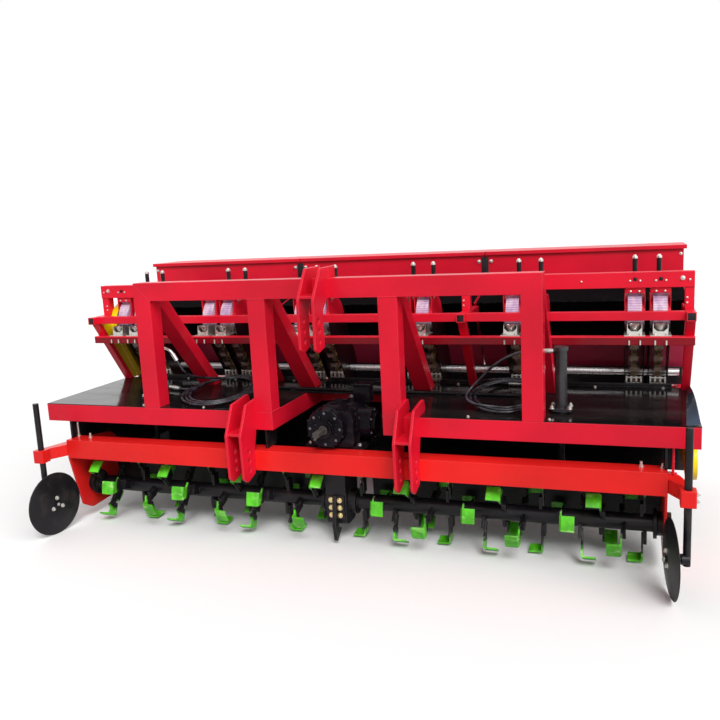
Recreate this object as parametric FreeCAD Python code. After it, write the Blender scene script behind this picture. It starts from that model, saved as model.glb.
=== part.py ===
"""Twelve-row garlic planter with a rotary tiller in front, carried on a three-point hitch.

Millimetres.  +X is the machine's left seen from the tractor seat looking back, +Y points to the rear,
+Z up.  Every place below is measured from the front edge of the deck beam's top face on the centre line;
`save` moves the finished pieces so that the origin is the middle of the ground under the machine.
"""
import FreeCAD
import Part
import math
import os

V = FreeCAD.Vector

# ---------------------------------------------------------------- fits
GAP = 0.3                 # between curved or sealed faces of neighbouring pieces
RUN = 0.05                # radial clearance of a shaft in its bore
MOVE = 6.0                # clearance of what turns or swings

# ---------------------------------------------------------------- deck frame
GROUND = 665.0            # deck beam top above the ground
HALF_DECK = 1620.0
DECK_DEPTH = 735.0
TUBE = 90.0               # deck and gantry square tube
TUBE_WALL = 5.0
SHEET = 4.0               # deck sheet
CURTAIN_HALF = 1560.0     # sheet hanging from the rear beam
CURTAIN_Y = 655.0
CURTAIN_LOW = -390.0

# ---------------------------------------------------------------- gantry
POST_OUT = 1000.0         # outer face of the outer posts
POST_IN = 280.0           # inner face of the inner posts
GANTRY_TOP = 636.0
BRACE_FOOT = 551.0        # front corner of a brace's foot on the deck
BRACE_DEPTH = 89.0        # measured level
BRACE_LEAN = 0.9          # level run per unit of height
# ---------------------------------------------------------------- three-point hitch
HITCH_HALF = 413.0        # half the lower pin spread
EAR = 12.0                # hitch plate
UPPER_EAR_GAP = 60.0
LOWER_EAR_GAP = 62.0
EAR_BACK = 104.0          # how far the lower ears reach back over the deck beam
PIN_R = 12.85             # hitch pin hole
UPPER_HOLES = (458.0, 411.0, 364.0)
LOWER_HOLES = (-176.0, -221.0, -266.0)
HITCH_FRONT = -161.0
UPPER_HOLE_Y = -118.0
LOWER_HOLE_Y = -92.0

# ---------------------------------------------------------------- tiller
TILL_HALF = 1496.0
TILL_FRONT = -29.0
TILL_TOP = -187.0
TILL_TUBE = 100.0
SIDE_PLATE = 10.0
ROTOR_Y = 150.0
ROTOR_Z = -475.0
ROTOR_R = 38.0
ROTOR_HALF = 1462.0
STUB_R = 25.0
TIP_R = 181.0
BLADE_T = 8.0
BLADE_REACH = 64.0        # length of a blade's foot along the rotor
BLADE_SWEEP = 22.0        # degrees the foot spans round the rotor
BLADE_LEAD = 4.0          # degrees of it ahead of the shank
BLADE_PITCH = 86.0
BLADE_FIRST = 118.0
BLADE_STATIONS = 16
BLADE_STEP = 72.0         # degrees between stations
HOOD_R = 215.0
HOOD_T = 5.0
CASE_W = 104.0            # centre drive case
CASE_FRONT = 66.0
SEAT_T = 12.0             # plate under the gearbox

# ---------------------------------------------------------------- discs
DISC_R = 165.0
DISC_T = 4.0
DISC_SAG = 16.0
DISC_TOE = 8.5
SHANK_X = 1565.0
SHANK_Y = -144.0
SHANK_R = 15.0
SHANK_TOP = 37.0
CLAMP = 60.0
CLAMP_TALL = 66.0
CLAMP_Z = -244.0
DISC_REACH = 72.0         # shank to disc centre along the stub
AXLE_R = 12.5

# ---------------------------------------------------------------- seeding unit frame
FRAME_OUT = 1620.0        # outer face of the end frames
FRAME_IN = 566.0          # middle of the inner frames
FRAME_TUBE = 40.0
FRAME_WALL = 4.0
RAIL_TOP = 416.0
RAIL_FRONT = 402.0
RAIL_BACK = 785.0
SLANT_TOP = 433.0
SLANT_FOOT = 687.0
BEAM_BOTTOM = 516.0
BEAM_TALL = 72.0
BEAM_FRONT = 545.0
BEAM_DEEP = 60.0
LEDGE_Z = 302.0
LEDGE = 40.0
LEDGE_T = 5.0
SILL_TUBE = 60.0
SILL_BACK = 1300.0
BAR_Y = 985.0             # opener bar
BAR_LIP = 42.0            # upright flat on the opener bar that closes the gap under the bins
BAR_TUBE = 50.0
REAR_TUBE = 80.0

# ---------------------------------------------------------------- rows
PAIRS = (-1420.0, -852.0, -284.0, 284.0, 852.0, 1420.0)
PAIR_HALF = 56.0
ROW_HALF = 46.0           # half width of one row's casing
CASING = 3.0
TOP_Y, TOP_Z = 676.0, 364.0       # upper sprocket
LOW_Y, LOW_Z = 867.0, 58.0        # lower sprocket
TOP_R = 118.0
LOW_R = 100.0
TOP_SHAFT_R = 12.5
SEED_SHAFT_R = 18.0
SPROCKET_R = 44.0
CHAIN_T = 8.0
CHAIN_W = 26.0
SPOONS = 14
SPOON = 30.0

# ---------------------------------------------------------------- hopper
HOP_HALF = 1604.0
HOP_SPLIT = 568.0
HOP_GAP = 4.0
HOP_FRONT = 1107.0
HOP_BACK = 1452.0
HOP_TOP = 665.0
HOP_T = 3.0
THROAT = (782.0, 430.0)
HOP_LOW = (1023.0, 43.0)
HOP_REAR_Z = 330.0
LID_TALL = 20.0
LID_OVER = 14.0
PIVOT_R = 4.0
GATE_Y = 813.0
GATE_TOP = 650.0
GATE_R = 7.0
GUARD_R = 117.0           # leaning chain guard

# ---------------------------------------------------------------- press roller
ROLL_R = 150.0
ROLL_HALF = 1420.0
ROLL_Y = 1330.0
ROLL_WALL = 6.0
ROLL_AXLE_R = 20.0
ARM_X = 1446.0
ARM_T = 12.0

# ---------------------------------------------------------------- gearbox and cylinders
GEAR_Y0, GEAR_Y1 = 60.0, 320.0
GEAR_HALF = 110.0
GEAR_Z = -80.0
INPUT_R = 17.45           # six-spline input shaft
INPUT_LEN = 90.0
JOURNAL_R = 22.0
INPUT_X = -20.0
CYL_X = 1060.0
CYL_Y = 170.0
CYL_R = 26.0
CYL_TOP = 300.0
ROD_R = 14.0

PORT_DROP = 20.0          # top port below the cylinder's top

# ---------------------------------------------------------------- hoses
HOSE_R = 7.0
HOSE_LIE = SHEET + HOSE_R + GAP   # middle of a hose that lies on the deck
FERRULE_R = 11.0
FERRULE = 42.0
PLUG_R = 13.0
COIL_T = 30.0             # thickness of a coil of loose turns
LEFT_COIL = (-700.0, 275.0, 200.0, 240.0, 0.12)     # middle x, y, half width, half depth, rise per length
RIGHT_COIL = (800.0, 280.0, 180.0, 208.0, 0.169)

TOE = math.radians(DISC_TOE)
FRONT_MOST = SHANK_Y + (DISC_SAG - 1 - DISC_REACH) * math.sin(TOE) - DISC_R * math.cos(TOE)
REAR_MOST = ROLL_Y + ROLL_R
SHIFT = V(0, -(FRONT_MOST + REAR_MOST) / 2, GROUND)


# ================================================================ helpers
def save(name, solids):
    """One STEP file per node, moved to the ground frame."""
    shape = Part.makeCompound(solids) if isinstance(solids, list) else solids
    shape = shape.copy()
    shape.translate(SHIFT)
    shape.exportStep("parts/" + name + ".step")


def box(x0, x1, y0, y1, z0, z1):
    return Part.makeBox(x1 - x0, y1 - y0, z1 - z0, V(x0, y0, z0))


def rod(start, end, radius):
    """Round bar between two points."""
    along = V(*end) - V(*start)
    return Part.makeCylinder(radius, along.Length, V(*start), along)


def pipe(start, end, outer, inner):
    return rod(start, end, outer).cut(rod(start, end, inner))


def mirrored(shape):
    """The same piece on the other side of the machine."""
    return shape.mirror(V(0, 0, 0), V(1, 0, 0))


def both(shape):
    return [mirrored(shape), shape]


def place(plane, a, b, level):
    """Point (a, b) of a drawing in the plane square to one axis."""
    if plane == "x":
        return V(level, a, b)
    if plane == "y":
        return V(a, level, b)
    return V(a, b, level)


def outline(corners, plane, level):
    """Closed wire through corners (a, b) or (a, b, radius)."""
    count = len(corners)
    starts, ends, mids = [], [], []
    for i in range(count):
        here = V(corners[i][0], corners[i][1], 0)
        back = (V(corners[i - 1][0], corners[i - 1][1], 0) - here).normalize()
        nxt = corners[(i + 1) % count]
        fwd = (V(nxt[0], nxt[1], 0) - here).normalize()
        radius = corners[i][2] if len(corners[i]) > 2 else 0.0
        if radius:
            half = back.getAngle(fwd) / 2
            cut = radius / math.tan(half)
            centre = here + (back + fwd).normalize() * (radius / math.sin(half))
            starts.append(here + back * cut)
            ends.append(here + fwd * cut)
            mids.append(centre + (here - centre).normalize() * radius)
        else:
            starts.append(here)
            ends.append(here)
            mids.append(None)
    edges = []
    for i in range(count):
        if mids[i] is not None:
            trio = [place(plane, p.x, p.y, level) for p in (starts[i], mids[i], ends[i])]
            edges.append(Part.Arc(*trio).toShape())
        a, b = ends[i], starts[(i + 1) % count]
        if (a - b).Length > 1e-6:
            edges.append(Part.makeLine(place(plane, a.x, a.y, level), place(plane, b.x, b.y, level)))
    return Part.Wire(edges)


def slab(corners, plane, low, high):
    """Outline drawn at `low` and pushed to `high` along its axis."""
    face = Part.Face(outline(corners, plane, low))
    return face.extrude(place(plane, 0, 0, high - low))


def tube_x(x0, x1, y0, y1, z0, z1, wall, cap_low=False, cap_high=False):
    inner = box(x0 + wall if cap_low else x0 - 1, x1 - wall if cap_high else x1 + 1,
                y0 + wall, y1 - wall, z0 + wall, z1 - wall)
    return box(x0, x1, y0, y1, z0, z1).cut(inner)


def tube_y(x0, x1, y0, y1, z0, z1, wall, cap_low=False):
    inner = box(x0 + wall, x1 - wall, y0 + wall if cap_low else y0 - 1, y1 + 1, z0 + wall, z1 - wall)
    return box(x0, x1, y0, y1, z0, z1).cut(inner)


def tube_z(x0, x1, y0, y1, z0, z1, wall):
    return box(x0, x1, y0, y1, z0, z1).cut(box(x0 + wall, x1 - wall, y0 + wall, y1 - wall, z0 - 1, z1 + 1))


def slanted_tube(x0, x1, top, foot, depth, wall):
    """Tube leaning in the side view; `top` and `foot` are its front corners and `depth` its level depth."""
    (ty, tz), (fy, fz) = top, foot
    lean = (ty - fy) / (tz - fz)
    side = wall * math.hypot(1, lean)
    outer = slab([(ty, tz), (ty + depth, tz), (fy + depth, fz), (fy, fz)], "x", x0, x1)
    hollow = slab([(ty + side + lean, tz + 1), (ty + depth - side + lean, tz + 1),
                   (fy + depth - side - lean, fz - 1), (fy + side - lean, fz - 1)], "x", x0 + wall, x1 - wall)
    return outer.cut(hollow)


def capsule(top_r, low_r, x0, x1):
    """Solid round both sprockets of a row: circles at the two centres and their outer tangents."""
    dy, dz = LOW_Y - TOP_Y, LOW_Z - TOP_Z
    length = math.hypot(dy, dz)
    heading = math.atan2(dz, dy)
    spread = math.acos((top_r - low_r) / length)

    def at(cy, cz, r, angle):
        return V(x0, cy + r * math.cos(angle), cz + r * math.sin(angle))

    rear, front = heading + spread, heading - spread
    top_rear, top_front = at(TOP_Y, TOP_Z, top_r, rear), at(TOP_Y, TOP_Z, top_r, front)
    low_rear, low_front = at(LOW_Y, LOW_Z, low_r, rear), at(LOW_Y, LOW_Z, low_r, front)
    edges = [
        Part.Arc(top_front, at(TOP_Y, TOP_Z, top_r, heading + math.pi), top_rear).toShape(),
        Part.makeLine(top_rear, low_rear),
        Part.Arc(low_rear, at(LOW_Y, LOW_Z, low_r, heading), low_front).toShape(),
        Part.makeLine(low_front, top_front),
    ]
    return Part.Face(Part.Wire(edges)).extrude(V(x1 - x0, 0, 0))


def moved(shape, dx=0.0, dy=0.0, dz=0.0):
    copy = shape.copy()
    copy.translate(V(dx, dy, dz))
    return copy


def rows():
    """Middle of each of the twelve rows."""
    return [pair + side for pair in PAIRS for side in (-PAIR_HALF, PAIR_HALF)]


def frame_spans():
    """Sides of the four frames that carry the seeding unit."""
    half = FRAME_TUBE / 2
    return [(-FRAME_OUT, -FRAME_OUT + FRAME_TUBE), (-FRAME_IN - half, -FRAME_IN + half),
            (FRAME_IN - half, FRAME_IN + half), (FRAME_OUT - FRAME_TUBE, FRAME_OUT)]


# ================================================================ deck and gantry
def deck():
    low = -TUBE
    rail_in, rail_out = POST_IN, POST_IN + TUBE
    post_in, post_out = POST_OUT - TUBE, POST_OUT
    back = DECK_DEPTH - TUBE
    save("deck_cross_beams", both(tube_x(rail_out, HALF_DECK, 0, TUBE, low, 0, TUBE_WALL, cap_high=True))
         + [tube_x(-HALF_DECK, HALF_DECK, back, DECK_DEPTH, low, 0, TUBE_WALL, True, True)])
    save("deck_rails", both(tube_y(rail_in, rail_out, 0, back, low, 0, TUBE_WALL, cap_low=True))
         + both(tube_y(post_in, post_out, TUBE, back, low, 0, TUBE_WALL))
         + both(tube_y(HALF_DECK - TUBE, HALF_DECK, TUBE, back, low, 0, TUBE_WALL)))
    sheet = box(rail_in + 1, HALF_DECK, 2, DECK_DEPTH, 0, SHEET)
    for x0 in (rail_in, post_in):
        sheet = sheet.cut(box(x0 - GAP, x0 + TUBE + GAP, 0, TUBE + GAP, -1, SHEET + 1))
    sheet = sheet.cut(rod((CYL_X, CYL_Y, -1), (CYL_X, CYL_Y, SHEET + 1), ROD_R + 4))
    ears = LOWER_EAR_GAP / 2 + EAR + GAP
    sheet = sheet.cut(box(HITCH_HALF - ears - TUBE, HITCH_HALF + ears, 0, EAR_BACK + GAP, -1, SHEET + 1))
    middle = box(-rail_in + GAP, rail_in - GAP, 430, DECK_DEPTH, 0, SHEET)
    curtain = box(-CURTAIN_HALF, CURTAIN_HALF, CURTAIN_Y, CURTAIN_Y + SHEET, CURTAIN_LOW, low)
    save("deck_sheets", both(sheet) + [middle, curtain])


def gantry():
    under = GANTRY_TOP - TUBE
    inner, outer = POST_OUT - TUBE, POST_OUT
    w = TUBE_WALL
    post = slab([(inner, 0), (outer, 0), (outer, GANTRY_TOP), (inner, under)], "y", 0, TUBE)
    post = post.cut(box(inner + w, outer - w, w, TUBE - w, -1, GANTRY_TOP + 1))
    inner_post = tube_z(POST_IN, POST_IN + TUBE, 0, TUBE, 0, under, w)
    save("gantry_posts", both(post) + both(inner_post))
    beam = slab([(-outer, GANTRY_TOP), (outer, GANTRY_TOP), (inner, under), (-inner, under)], "y", 0, TUBE)
    save("gantry_top_beam", beam.cut(box(-outer - 1, outer + 1, w, TUBE - w, under + w, GANTRY_TOP - w)))
    braces = []
    for x0 in (POST_IN, inner):
        braces += both(brace(x0))
    save("gantry_braces", braces)


def brace(x0):
    """Leaning tube from the back of a post down to the deck."""
    def front(z):
        return BRACE_FOOT - (z - SHEET) * BRACE_LEAN

    def height(y, foot):
        return SHEET + (foot - y) / BRACE_LEAN

    rear_foot = BRACE_FOOT + BRACE_DEPTH
    outer = slab([(TUBE, height(TUBE, BRACE_FOOT)), (BRACE_FOOT, SHEET), (rear_foot, SHEET),
                  (TUBE, height(TUBE, rear_foot))], "x", x0, x0 + TUBE)
    side = TUBE_WALL * math.hypot(1, BRACE_LEAN)
    near, far = BRACE_FOOT + side, rear_foot - side
    low, high = -1.0, TUBE - 1.0
    hollow = slab([(high, height(high, near)), (near + (SHEET - low) * BRACE_LEAN, low),
                   (far + (SHEET - low) * BRACE_LEAN, low), (high, height(high, far))],
                  "x", x0 + TUBE_WALL, x0 + TUBE - TUBE_WALL)
    return outer.cut(hollow)


# ================================================================ hitch
def hitch_ear(corners, holes, hole_y, middle):
    ear = slab(corners, "x", middle - EAR / 2, middle + EAR / 2)
    for z in holes:
        ear = ear.cut(rod((middle - EAR, hole_y, z), (middle + EAR, hole_y, z), PIN_R))
    return ear


def hitch():
    top = GANTRY_TOP
    upper = [(110, top), (110, top + 52, 8), (-62, top + 50, 10), (-166, 552, 25), (-166, 330, 8),
             (-132, 314, 8), (-62, 330, 8), (-58, 500, 20), (0, top - TUBE, 0), (0, top, 0)]
    gap = UPPER_EAR_GAP / 2
    ears = [hitch_ear(upper, UPPER_HOLES, UPPER_HOLE_Y, side * (gap + EAR / 2)) for side in (-1, 1)]
    web = box(-gap - 1, gap + 1, -150, 0, 558, 570)
    save("upper_hitch", ears[0].fuse(ears[1:] + [web]).removeSplitter())
    lower = [(EAR_BACK - 24, 0), (EAR_BACK, 18, 8), (84, 66, 12), (52, 66, 12), (-84, 52, 16),
             (HITCH_FRONT, -84, 25), (HITCH_FRONT + 8, -298, 12), (-118, -320, 10), (-40, -300, 10),
             (TILL_FRONT, -270), (TILL_FRONT, TILL_TOP), (0, -TUBE), (0, 0)]
    gap = LOWER_EAR_GAP / 2
    ears = [hitch_ear(lower, LOWER_HOLES, LOWER_HOLE_Y, HITCH_HALF + side * (gap + EAR / 2)) for side in (-1, 1)]
    web = box(HITCH_HALF - gap - 1, HITCH_HALF + gap + 1, -148, 0, -88, -76)
    save("lower_hitch", both(ears[0].fuse(ears[1:] + [web]).removeSplitter()))


# ================================================================ tiller
def tiller_frame():
    low = TILL_TOP - TILL_TUBE
    back = TILL_FRONT + TILL_TUBE
    save("tiller_beam", tube_x(-TILL_HALF, TILL_HALF, TILL_FRONT, back, low, TILL_TOP, TUBE_WALL, True, True))
    x0, x1 = TILL_HALF - SIDE_PLATE, TILL_HALF
    plate = slab([(TILL_FRONT, low), (39, -570, 30), (110, -612, 60), (330, -600, 90), (400, -450, 60),
                  (372, -240, 90), (back, -200, 0), (back, low)], "x", x0, x1)
    boss = rod((x0 - 22, ROTOR_Y, ROTOR_Z), (x1 + 24, ROTOR_Y, ROTOR_Z), 52)
    bore = rod((x0 - 40, ROTOR_Y, ROTOR_Z), (x1 + 8, ROTOR_Y, ROTOR_Z), STUB_R + RUN)
    save("tiller_side_plates", both(plate.fuse(boss).cut(bore)))
    hood(back, low)
    hangers(back)


def hood(back, low):
    """Curved rotor hood with its trailing board, one sheet on each side of the drive case."""
    def ring(radius, start, end):
        return [V(0, ROTOR_Y + radius * math.cos(a), ROTOR_Z + radius * math.sin(a))
                for a in (start, (start + end) / 2, end)]

    start = math.acos((back - ROTOR_Y) / HOOD_R)
    outer_r = HOOD_R + HOOD_T
    start_out = math.acos((back - ROTOR_Y) / outer_r)
    inner, outer = ring(HOOD_R, 0.0, start), ring(outer_r, start_out, 0.0)
    tail_y, tail_z = ROTOR_Y + HOOD_R + 8, -598.0
    tail = [V(0, tail_y, tail_z), V(0, tail_y + HOOD_T, tail_z)]
    edges = [Part.Arc(*inner).toShape(), Part.makeLine(inner[2], outer[0]), Part.Arc(*outer).toShape(),
             Part.makeLine(outer[2], tail[1]), Part.makeLine(tail[1], tail[0]), Part.makeLine(tail[0], inner[0])]
    section = Part.Face(Part.Wire(edges))
    x0, x1 = CASE_W / 2 + 40, TILL_HALF - SIDE_PLATE - GAP
    sheet = section.extrude(V(x1 - x0, 0, 0))
    sheet.translate(V(x0, 0, 0))
    save("rotor_hood", both(sheet))


def hangers(back):
    """Plates that tie the deck frame down to the tiller, and the plate that carries the gearbox."""
    plates = []
    for x in (POST_IN + TUBE / 2, HALF_DECK - TUBE - 40):
        plates += both(slab([(back - 60, -TUBE), (back + 80, -TUBE), (back + 40, TILL_TOP), (back - 60, TILL_TOP)],
                            "x", x - 5, x + 5))
    half = GEAR_HALF + 35
    plates.append(box(-half, half, back, GEAR_Y1 + 10, TILL_TOP - SEAT_T, TILL_TOP))
    save("tiller_mount_plates", plates)


def drive_case():
    """Case that carries the drive down to the middle of the rotor, with the point that breaks its strip."""
    half = CASE_W / 2
    top = TILL_TOP - SEAT_T
    front = CASE_FRONT + GAP
    body = slab([(front + 6, top), (245, top), (236, -520, 55), (180, -575, 40), (front, -575, 30),
                 (front, TILL_TOP - TILL_TUBE - 10, 4), (front + 6, TILL_TOP - TILL_TUBE, 4)], "x", -half, half)
    boss = rod((-half - 20, ROTOR_Y, ROTOR_Z), (half + 20, ROTOR_Y, ROTOR_Z), 58)
    bore = rod((-half - 40, ROTOR_Y, ROTOR_Z), (half + 40, ROTOR_Y, ROTOR_Z), STUB_R + RUN)
    save("centre_drive_case", body.fuse(boss).cut(bore))
    point = slab([(46, -420, 6), (CASE_FRONT, -420), (CASE_FRONT, -582), (104, -602), (40, -650, 4),
                  (24, -560, 30)], "x", -9, 9)
    cheek = box(-44, 44, CASE_FRONT - 8, CASE_FRONT, -540, -425)
    save("centre_point", point.fuse(cheek).removeSplitter())


def gearbox():
    low = TILL_TOP
    z = GEAR_Z
    body = slab([(-GEAR_HALF, low + 14, 20), (GEAR_HALF, low + 14, 20), (GEAR_HALF, z + 80, 45),
                 (-GEAR_HALF, z + 80, 45)], "y", GEAR_Y0, GEAR_Y1)
    body = body.fuse(box(-GEAR_HALF - 35, GEAR_HALF + 35, TILL_FRONT + TILL_TUBE + 4, GEAR_Y1 + 10, low, low + 14))
    for y in (120.0, 190.0, 260.0):
        body = body.fuse(box(-GEAR_HALF - 10, GEAR_HALF + 10, y, y + 8, low + 14, z + 60))
    body = body.fuse(rod((40, 250, z + 70), (40, 250, z + 108), 16))
    side = rod((GEAR_HALF - 5, 190, z - 5), (GEAR_HALF + 66, 190, z - 5), 78)
    side = side.fuse(rod((GEAR_HALF + 66, 190, z - 5), (GEAR_HALF + 84, 190, z - 5), 56))
    save("gearbox", body.fuse(side).removeSplitter())
    cover_y = GEAR_Y0 - 34
    ring_y = cover_y - 26
    cover = Part.makeCone(90, 100, 34, V(INPUT_X, cover_y, z), V(0, 1, 0))
    cover = cover.fuse(rod((INPUT_X, ring_y, z), (INPUT_X, cover_y + 1, z), 40))
    for k in range(8):
        rib = box(-4, 4, cover_y, GEAR_Y0, 60, 98)
        rib.translate(V(INPUT_X, 0, z))
        rib.rotate(V(INPUT_X, 0, z), V(0, 1, 0), 45 * k + 22.5)
        cover = cover.fuse(rib)
    cover = cover.cut(rod((INPUT_X, ring_y - 1, z), (INPUT_X, GEAR_Y0 + 1, z), JOURNAL_R + RUN))
    save("gearbox_cover", cover.removeSplitter())
    shaft = spline_shaft(ring_y - INPUT_LEN, ring_y + 2)
    shaft = shaft.fuse(rod((0, ring_y, 0), (0, GEAR_Y0 - GAP, 0), JOURNAL_R)).removeSplitter()
    shaft.translate(V(INPUT_X, 0, z))
    save("input_shaft", shaft)


def spline_shaft(y0, y1):
    """Six-spline input shaft along Y on the origin."""
    body_r = INPUT_R - 2.7
    shaft = rod((0, y0, 0), (0, y1, 0), body_r)
    for k in range(6):
        key = box(-4.3, 4.3, y0, y1, 0, INPUT_R + 2)
        key.rotate(V(0, 0, 0), V(0, 1, 0), 60 * k)
        shaft = shaft.fuse(key)
    return shaft.common(rod((0, y0, 0), (0, y1, 0), INPUT_R)).removeSplitter()


# ================================================================ rotor
def blade_pattern():
    """One bent blade standing straight up from the rotor axis, its foot pointing to +X."""
    web_in = 112.0
    bend = 14.0
    section = [(0, web_in), (BLADE_T, web_in), (BLADE_T, TIP_R - bend), (bend, TIP_R - BLADE_T),
               (BLADE_REACH, TIP_R - BLADE_T), (BLADE_REACH, TIP_R), (bend * 0.6, TIP_R), (0, TIP_R - bend * 0.6)]
    face = Part.Face(outline(section, "y", 0))
    swept = face.revolve(V(0, 0, 0), V(1, 0, 0), BLADE_SWEEP)
    swept.rotate(V(0, 0, 0), V(1, 0, 0), -BLADE_LEAD)
    shank = slab([(-19, 50), (19, 50), (19, 112, 30), (36, 132), (6, 148), (-19, 118)], "x", 0, BLADE_T)
    blade = swept.fuse(shank).removeSplitter()
    return blade


def rotor():
    profile = [(0, 0), (0, STUB_R), (CASE_W / 2 + 22, STUB_R), (CASE_W / 2 + 22, 62), (CASE_W / 2 + 36, 62),
               (CASE_W / 2 + 36, ROTOR_R), (ROTOR_HALF - 14, ROTOR_R), (ROTOR_HALF - 14, 66), (ROTOR_HALF, 66),
               (ROTOR_HALF, STUB_R), (TILL_HALF, STUB_R), (TILL_HALF, 0)]
    half = Part.Face(outline(profile, "y", 0)).revolve(V(0, 0, 0), V(1, 0, 0), 360)
    tube = half.fuse(mirrored(half)).removeSplitter()
    holder = box(-GAP - 14, -GAP, -24, 24, ROTOR_R - 4, 92)
    blade = blade_pattern()
    blades = []
    holders = []
    for side in (-1, 1):
        for k in range(BLADE_STATIONS):
            x = BLADE_FIRST + k * BLADE_PITCH
            for turn, facing in ((0, 1), (180, -1)):
                angle = BLADE_STEP * k + turn + (36 if side < 0 else 0)
                one, seat = blade, holder
                if facing < 0:
                    one, seat = mirrored(blade), mirrored(holder)
                one, seat = one.copy(), seat.copy()
                for piece in (one, seat):
                    piece.rotate(V(0, 0, 0), V(1, 0, 0), angle)
                    piece.translate(V(side * x, 0, 0))
                blades.append(one)
                holders.append(seat)
    tube = tube.fuse(holders)
    axis = V(0, ROTOR_Y, ROTOR_Z)
    tube.translate(axis)
    save("rotor_tube", tube)
    for one in blades:
        one.translate(axis)
    save("rotor_blades", blades)


# ================================================================ discs
def discs():
    inward = V(-math.cos(TOE), -math.sin(TOE), 0)
    disc_z = DISC_R - GROUND
    foot = V(SHANK_X, SHANK_Y, disc_z)
    centre = foot + inward * DISC_REACH
    half = CLAMP / 2
    arm = slab([(TILL_HALF, 58), (TILL_HALF, -22), (SHANK_X - 14, SHANK_Y + half), (SHANK_X + half - 6,
                SHANK_Y + half), (SHANK_X - 20, 30), (TILL_HALF + 34, 58)], "z", CLAMP_Z - 30, CLAMP_Z + 30)
    clamp = slab([(SHANK_X - half, SHANK_Y - half, 6), (SHANK_X + half, SHANK_Y - half, 6),
                  (SHANK_X + half, SHANK_Y + half, 6), (SHANK_X - half, SHANK_Y + half, 6)],
                 "z", CLAMP_Z - CLAMP_TALL / 2, CLAMP_Z + CLAMP_TALL / 2)
    clamp = clamp.fuse(arm)
    clamp = clamp.cut(rod((SHANK_X, SHANK_Y, CLAMP_Z - 50), (SHANK_X, SHANK_Y, CLAMP_Z + 50), SHANK_R + GAP))
    shank = rod((SHANK_X, SHANK_Y, disc_z - 26), (SHANK_X, SHANK_Y, SHANK_TOP), SHANK_R)
    knuckle = Part.makeCylinder(22, 30, foot - inward * 8, inward)
    stub = Part.makeCylinder(AXLE_R, DISC_REACH + 12, foot, inward)
    shank = shank.fuse(knuckle).fuse(stub).removeSplitter()
    profile = [(-34, AXLE_R + RUN), (-34, 30), (-6, 34), (-6, 46), (0, 46)]
    edges = [Part.makeLine(V(profile[i][0], profile[i][1], 0), V(profile[i + 1][0], profile[i + 1][1], 0))
             for i in range(len(profile) - 1)]
    sag = -DISC_SAG
    rim = DISC_R
    edges.append(Part.Arc(V(0, 46, 0), V(sag * 0.42, 112, 0), V(sag, rim - 4, 0)).toShape())
    edges.append(Part.makeLine(V(sag, rim - 4, 0), V(sag + 1, rim, 0)))
    edges.append(Part.makeLine(V(sag + 1, rim, 0), V(sag + DISC_T, rim - 4, 0)))
    edges.append(Part.Arc(V(sag + DISC_T, rim - 4, 0), V(sag * 0.42 + DISC_T, 112, 0), V(DISC_T, 46, 0)).toShape())
    edges.append(Part.makeLine(V(DISC_T, 46, 0), V(DISC_T, AXLE_R + RUN, 0)))
    edges.append(Part.makeLine(V(DISC_T, AXLE_R + RUN, 0), V(-34, AXLE_R + RUN, 0)))
    disc = Part.Face(Part.Wire(edges)).revolve(V(0, 0, 0), V(1, 0, 0), 360)
    disc.rotate(V(0, 0, 0), V(0, 0, 1), 180 + DISC_TOE)
    disc.translate(centre)
    save("disc_clamps", both(clamp))
    save("disc_shanks", both(shank))
    save("disc_left", mirrored(disc))
    save("disc_right", disc)


# ================================================================ seeding unit frame
def seeding_frame():
    rail_low = RAIL_TOP - FRAME_TUBE
    rails, slants, posts, sills = [], [], [], []
    for x0, x1 in frame_spans():
        rails.append(tube_y(x0, x1, RAIL_FRONT, RAIL_BACK, rail_low, RAIL_TOP, FRAME_WALL))
        slants.append(slanted_tube(x0, x1, (SLANT_TOP, rail_low), (SLANT_FOOT, SHEET), FRAME_TUBE,
                                   FRAME_WALL))
        posts.append(tube_z(x0, x1, BEAM_FRONT + 5, BEAM_FRONT + 55, RAIL_TOP, BEAM_BOTTOM, FRAME_WALL))
        sills.append(tube_y(x0, x1, DECK_DEPTH, SILL_BACK, -TUBE, -TUBE + SILL_TUBE, FRAME_WALL))
    save("seeder_rails", rails)
    save("seeder_slants", slants)
    save("seeder_sills", sills)
    beam_top = BEAM_BOTTOM + BEAM_TALL
    beam = box(-HALF_DECK, HALF_DECK, BEAM_FRONT, BEAM_FRONT + BEAM_DEEP, BEAM_BOTTOM, beam_top)
    beam = beam.cut(box(-HALF_DECK + 5, HALF_DECK - 5, BEAM_FRONT + 5, BEAM_FRONT + BEAM_DEEP + 1,
                        BEAM_BOTTOM + 5, beam_top - 5))
    save("seeder_top_beam", beam)
    spans = frame_spans()
    cross = [tube_x(spans[i][1], spans[i + 1][0], RAIL_FRONT + 40, RAIL_FRONT + 40 + FRAME_TUBE, rail_low,
                    RAIL_TOP, FRAME_WALL) for i in range(3)]
    save("seeder_cross_tubes", cross)
    back = slant_front(LEDGE_Z) - GAP
    ledge = slab([(back, LEDGE_Z), (back - LEDGE, LEDGE_Z, 6), (back - LEDGE, LEDGE_Z - LEDGE),
                  (back - LEDGE + LEDGE_T, LEDGE_Z - LEDGE), (back - LEDGE + LEDGE_T, LEDGE_Z - LEDGE_T),
                  (back, LEDGE_Z - LEDGE_T)], "x", -FRAME_OUT, FRAME_OUT)
    save("seeder_ledge", ledge)
    rear_supports(posts)


def slant_front(z):
    """Y of the slanted tubes' front at height z."""
    top = RAIL_TOP - FRAME_TUBE
    return SLANT_TOP + (top - z) * (SLANT_FOOT - SLANT_TOP) / (top - SHEET)


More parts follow.
